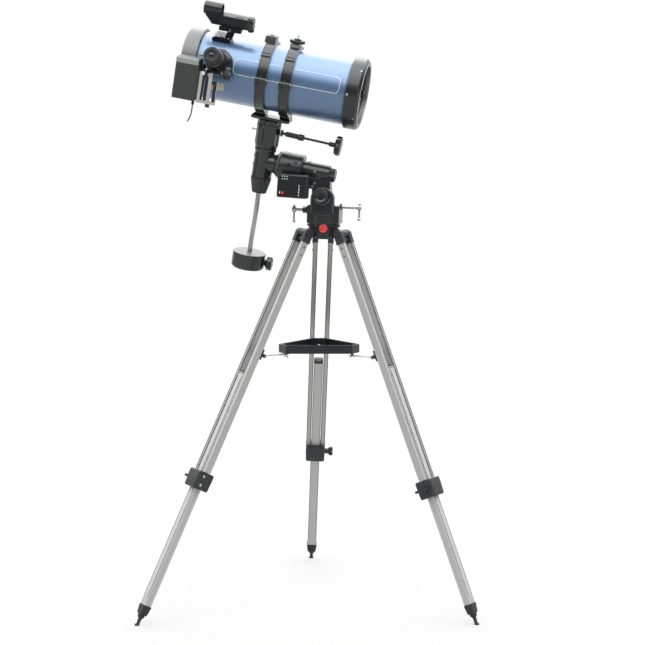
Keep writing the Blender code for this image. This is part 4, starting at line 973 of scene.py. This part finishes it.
def build_tube_ring(number):
    ring = TUBE @ place(RING_PLACES[number], 0, 0)
    hinge_y, hinge_z, half = -93, 5, 12
    split = 3.4  # degrees, where the halves part
    half_ring = band(86.9, 80.4, -half, half)
    # A lathe about X starts its angle at -Z and turns towards +Y
    lower = Form(f"ring_{number}_lower_half", ring, RING)
    lower.hoop(half_ring, 144, 0.8, "X", arc=(-90 - split, 90 + split - 0.2))
    for edge in (-half + 1.2, half - 1.2):
        lower.hoop(band(87.9, 86, edge - 1.2, edge + 1.2), 144, 0.4, "X", arc=(-86, 86))
    out_low, out_high = {1: (-22, 11.6), 2: (-11.6, 14.5)}[number]
    lower.block(((out_low, out_high), (-16, 16), -94.1), ((-11.4, 11.4), (-24, 24), -84.6), 0.9)
    for hand in (-1, 1):
        low, high = sorted((hand * 5.3, hand * 14.5))
        lower.rod((low, hinge_y, hinge_z), (high, hinge_y, hinge_z), 4.4, 32, 0.6)
        lower.box((low + 0.6, hinge_y + 0.4, -12), (high - 0.6, -82.5, hinge_z - 0.8), 1)
    lower.box((-8, 82, -14), (8, 102, hinge_z - 0.4), 1.2)
    lower.rod((-15.8, hinge_y, hinge_z), (15.8, hinge_y, hinge_z), 2.6, 32, material=CHROME)
    lower.done("dec", f"tube_ring_{number}_lower", slot="tube_ring_black")

    upper = Form(f"ring_{number}_upper_half", ring, RING)
    upper.hoop(half_ring, 144, 0.8, "X", arc=(90 + split + 0.2, 270 - split - 0.2))
    for edge in (-half + 1.2, half - 1.2):
        upper.hoop(band(87.9, 86, edge - 1.2, edge + 1.2), 144, 0.4, "X", arc=(97, 263))
    upper.hoop(band(88.6, 86.4, -12.6, 12.6), 360, 0.4, "X", arc=(223.6, 227.6))
    for first in (221.6, 228.4):
        upper.hoop(band(88, 86.4, -12.2, 12.2), 360, along="X", arc=(first, first + 1.2), material=FLAT_BLACK)
    upper.rod((-4.9, hinge_y, hinge_z), (4.9, hinge_y, hinge_z), 4.4, 32, 0.6)
    upper.box((-4.6, hinge_y + 0.4, hinge_z + 0.6), (4.6, -82.3, 13), 1)
    upper.box((-8, 82, hinge_z + 0.4), (8, 102, 13), 1.2)
    low, high, top = {1: (-16.5, 8.9, 101), 2: (-13.3, 9.4, 94.5)}[number]
    upper.block(((low - 1, high + 1), (-20, 20), 84.5), ((low, high), (-14, 14), top), 1)
    if number == 2:
        upper.lathe(solid((17.6, 101.5), (18.4, 100.6), (18.4, 95), (17.4, 94.2)), 192, 0.3,
            wave=(48, 0.6, 18), material=SMOOTH)
        upper.lathe(solid((8, 104.7), (8.5, 104), (8.5, 101)), 48, 0.2, material=SMOOTH)
        upper.lathe([(0, 116.3), (2.5, 116.3), *[(3.1 - 0.45 * (k % 2), 115.6 - 0.8 * k) for k in range(14)],
            (0, 104)], 24, material=STEEL)
    else:
        upper.lathe(solid((3, 101.2), (4, 102.2), (6, 102.2), (6.6, 101.4), (6.6, 99)), 6, at=(-3.8, 0, 0),
            material=SMOOTH)
    upper.done(f"ring_{number}_upper", f"tube_ring_{number}_upper", slot="tube_ring_black")

    knob = Form(f"ring_{number}_clamp_knob", ring @ place(0, 94.5, 0), SMOOTH)
    knob.lathe(solid((6.6, 30), (8.4, 28), (8.4, 20), (5.4, 17.2), (5, 13.6)), 128, 0.5, wave=(16, 0.8, 8))
    knob.done(f"ring_{number}_knob", f"tube_ring_{number}_knob")


def build_focuser():
    x = FOCUS_X
    body = Form("focuser_housing", FOCUSER, SMOOTH)
    body.hoop([(31.4, -87), (29.6, -90.2), (25.4, -92.4), (23.2, -97), (22.6, -112), (18.6, -112),
        (18.6, -68), (31.4, -68)], 96, 1, "Y", (x + 3, 0, 1))
    body.hoop(band(22.4, 17.9, -126.8, -85), 96, 0.8, "Y", (x, 0, 0))
    body.hoop(band(23.4, 22, -126.4, -121), 192, 0.3, "Y", (x, 0, 0), wave=(48, 0.5, 23))
    body.box((x - 20, -92, -22), (x + 22, -88.6, 22), 1.4)
    body.rod((x - 17, -107, -27), (x + 17, -107, -27), 8.4, 40, 0.8)
    body.box((x - 15, -115, -27), (x + 15, -97, -15), 1.4)
    for dx, dz in ((1, 28.5), (13, 24.5), (-12, 25)):
        body.screw((x + dx, -90.2, dz * 0.86), (0, -1, 0), 3, 1.6, material=STEEL)
    for dx in (-9, 9):
        body.screw((x + dx, -115, -21), (0, -1, 0), 2, 1.2, material=STEEL)
    lay = (FOCUSER.inverted() @ TUBE).to_3x3().to_4x4()
    body.lathe(disc(5.4, -151.6, -105), 32, 0.4, "Y", (x, 0, 3), lay=lay, material=STEEL)
    body.done("tube", "focuser_body")

    draw = Form("draw_tube_chrome", FOCUSER @ place(x, 0, 0), BRASS)
    draw.hoop([(21.5, -130.6), (21.5, -142), (16.2, -142), (16.2, -68), (17.5, -68), (17.5, -130.6)], 96,
        0.5, "Y", material=CHROME)
    draw.hoop(band(21.8, 21, -133, -139), 192, along="Y", wave=(60, 0.3, 21.5), material=SMOOTH)
    draw.rod((-21, -136.5, 2), (-34.5, -136.5, 2), 1.6, 20)
    draw.rod((-30, -136.5, 2), (-37.5, -136.5, 2), 3.6, 96, 0.5, wave=(18, 0.4, 3.4))
    draw.done("draw_tube", "draw_tube", slot="chrome")

    eye = Form("eyepiece_body", FOCUSER @ place(x, 0, 0), RUBBER)
    eye.lathe(solid((15.7, -118.2), (15.7, -142.4), (20.4, -142.6), (20.4, -156), (19.4, -157), (19.4, -162),
        (20.4, -163), (20.4, -174), (17.5, -179.9), (12.5, -179.9), (9, -177.2)), 192, 0.5, "Y",
        wave=(48, 0.4, 20.2))
    eye.lathe([(0, -177.7), (3.2, -177.6), (5, -177.3), (5, -176), (0, -176)], 48, along="Y", material=LENS)
    eye.done("eyepiece", "eyepiece", slot="rubber")

    knobs = Form("focus_wheels", FOCUSER, STEEL)
    knobs.rod((x - 33, -107, -27), (x + 33, -107, -27), 2.9, 24)
    for hand in (-1, 1):
        near, far = x + hand * 24.2, x + hand * 38.4
        knobs.lathe(solid((12, near), (15.4, near + hand * 2.5), (15.4, far - hand * 1.4), (14, far),
            (10, far), (8.5, far - hand * 1.2)), 200, 0.4, "X", (0, -107, -27), wave=(40, 0.7, 15),
            material=SMOOTH)
        knobs.lathe(solid((3, far - hand * 0.4), (3.4, far - hand * 1.4)), 24, along="X", at=(0, -107, -27))
    knobs.done("focus_knobs", "focus_knobs")


def build_finder():
    bracket = Form("finder_mount", FINDER, SMOOTH)
    part_low = [(-164, 79.5), (-118, 79.5), (-118, 86), (-134, 91.5), (-157, 92), (-164, 87)]
    bracket.prism(part_low, -17.5, 13.8, "Y", 1.2)
    bracket.prism([(-136.5, 84), (-117.5, 84), (-110, 107), (-128, 107)], -7.8, 7.8, "Y", 1.2)
    bracket.box((-149.6, -12.4, 107), (-94, 12.4, 112.4), 1)
    for side in (-1, 1):
        low, high = sorted((side * 7.6, side * 12.4))
        bracket.box((-149.6, low, 111), (-94, high, 117.9), 0.9)
    bracket.screw((-145.8, -11, 91), (0.1, -0.2, 1), 3.4, 1.6, material=STEEL)
    bracket.screw((-124, -11, 88), (0.1, -0.2, 1), 3, 1.6, material=STEEL)
    bracket.rod((-121, -12, 112.5), (-121, -17.5, 112.5), 3.4, 96, 0.4, wave=(18, 0.4, 3.2), material=STEEL)
    bracket.done("tube", "finder_bracket")

    body = Form("finder_sight", FINDER, SMOOTH)
    body.prism([(-168.8, 119), (-65.5, 118.4), (-65.5, 143.5), (-70, 146.2), (-148, 146.8), (-186, 148),
        (-186, 140), (-180, 134)], -10.9, 10.9, "Y", 2.2)
    body.hoop([(14.6, -190), (15.7, -188.4), (15.7, -147), (14.6, -145.2), (12.7, -145.2), (12.7, -190)], 80,
        0.5, "X", (0, 0, 156.3))
    body.hoop(band(16.1, 15.4, -183, -179), 80, 0.3, "X", (0, 0, 156.3))
    body.lathe([(0, -185.6), (12.9, -187), (12.9, -184.4), (0, -183)], 64, along="X", at=(0, 0, 156.3),
        material=LENS)
    body.box((-112, -5.5, 145.8), (-92, 5.5, 147.4), 0.6)
    body.box((-82, -7, 144), (-67, 7, 149), 1.6)
    body.box((-96, -11.2, 122), (-92, 11.2, 141), 0.4, material=FLAT_BLACK)
    body.box((-150, -11.3, 126), (-100, -10.7, 139), 0.5, material=PLASTIC)
    body.lathe(solid((7.2, 113), (7.9, 114), (7.9, 120)), 96, 0.4, at=(-73, 0, 0), wave=(20, 0.6, 7.6))
    body.rod((-76, -10.5, 133), (-76, -15.8, 133), 9.6, 160, 0.6, wave=(32, 0.5, 9))
    body.done("tube", "red_dot_finder")


def build_arm_and_box():
    arm = Form("camera_bracket_plates", TUBE, PAINTED_SHADE_BAR)
    front, back = -156, -152
    for low, high, top in ((-157.7, -148.4, 9), (-133.2, -124.5, 9), (-111.9, -110, -9)):
        arm.box((low, front, -67), (high, back, top), 0.7, material=CHROME)
    # The plates between and across the chrome bars take the dark metal: painted shade
    for low, high, top in ((-148.8, -143.5, 8.6), (-141.5, -132.8, 8.6), (-120, -111.6, -9.4)):
        arm.box((low, front + 0.9, -66.8), (high, back, top), 0.5)
    arm.box((-157, front + 0.5, -3.6), (-125, back - 0.5, 8.6), 0.4)
    arm.box((-157, front + 0.3, -66.6), (-111, back - 0.3, -59), 0.6, material=CHROME)
    arm.box((-130, front + 0.5, -18.6), (-111, back - 0.5, -11), 0.4)
    arm.lathe(solid((4.4, -158.6), (5.6, -157.4), (5.6, -155.5)), 6, 0.4, "Y", (-132, 0, 3), material=STEEL)
    arm.lathe(solid((3.6, -158.2), (4.6, -157.2), (4.6, -155.5)), 32, 0.6, "Y", (-148.3, 0, 5),
        material=WHITE)
    arm.rod((-128.4, -154, -67.5), (-128.4, -154, -60), 2.4, 24, material=STEEL)
    arm.rod((-128.4, -154, -74), (-128.4, -154, -66.8), 5.4, 96, 0.6, wave=(16, 0.5, 5), material=SMOOTH)
    arm.done("camera_arm", "camera_arm", slot="chrome")

    box = Form("camera_control_box", TUBE, BOX)
    box.box((-215, -168, -64), (-158, -126, 36), 3.4, segments=4)
    box.box((-213.8, -168.4, 21), (-159.2, -127, 35.4), 2.4, segments=3, material=PALE_GREY_AND_HIGHLIGHT)
    box.box((-211, -168.6, -58), (-162, -167.6, 17), 0.8, segments=3)
    box.lathe([(0, -217.4), (4.4, -217.2), (5.4, -216), (5.4, -214), (0, -214)], 64, 0.4, "X", (0, -147, -8),
        wave=(16, 0.5, 5), material=SMOOTH)
    for x in (-206, -167):
        for z in (-53, 12):
            box.screw((x, -168.4, z), (0, -1, 0), 1.7, 0.8, material=SMOOTH)
    box.lathe(solid((2.2, -76.4), (2.6, -75), (3.4, -64.5), (3.4, -62)), 32, 0.3, at=(-165.5, -147, 0),
        material=RUBBER)
    for k in range(4):
        box.hoop(band(3.5, 2.3, -0.7, 0.7), 32, at=(-165.5, -147, -66.5 - 2.4 * k), material=RUBBER)
    box.done("camera_arm", "camera_box", slot="box_plastic")


build_studio()
build_cord()
build_hub()
build_tray()
for leg_number in LEGS:
    build_leg(leg_number)
build_base()
build_t_bolt("left_t_bolt", -1, -9.3, -74.3, 62)
build_t_bolt("right_t_bolt", 1, 5.7, 86.5, 72.5)
build_polar()
build_motor_box()
build_dec()
build_shell()
for ring_number in RING_PLACES:
    build_tube_ring(ring_number)
build_focuser()
build_finder()
build_arm_and_box()
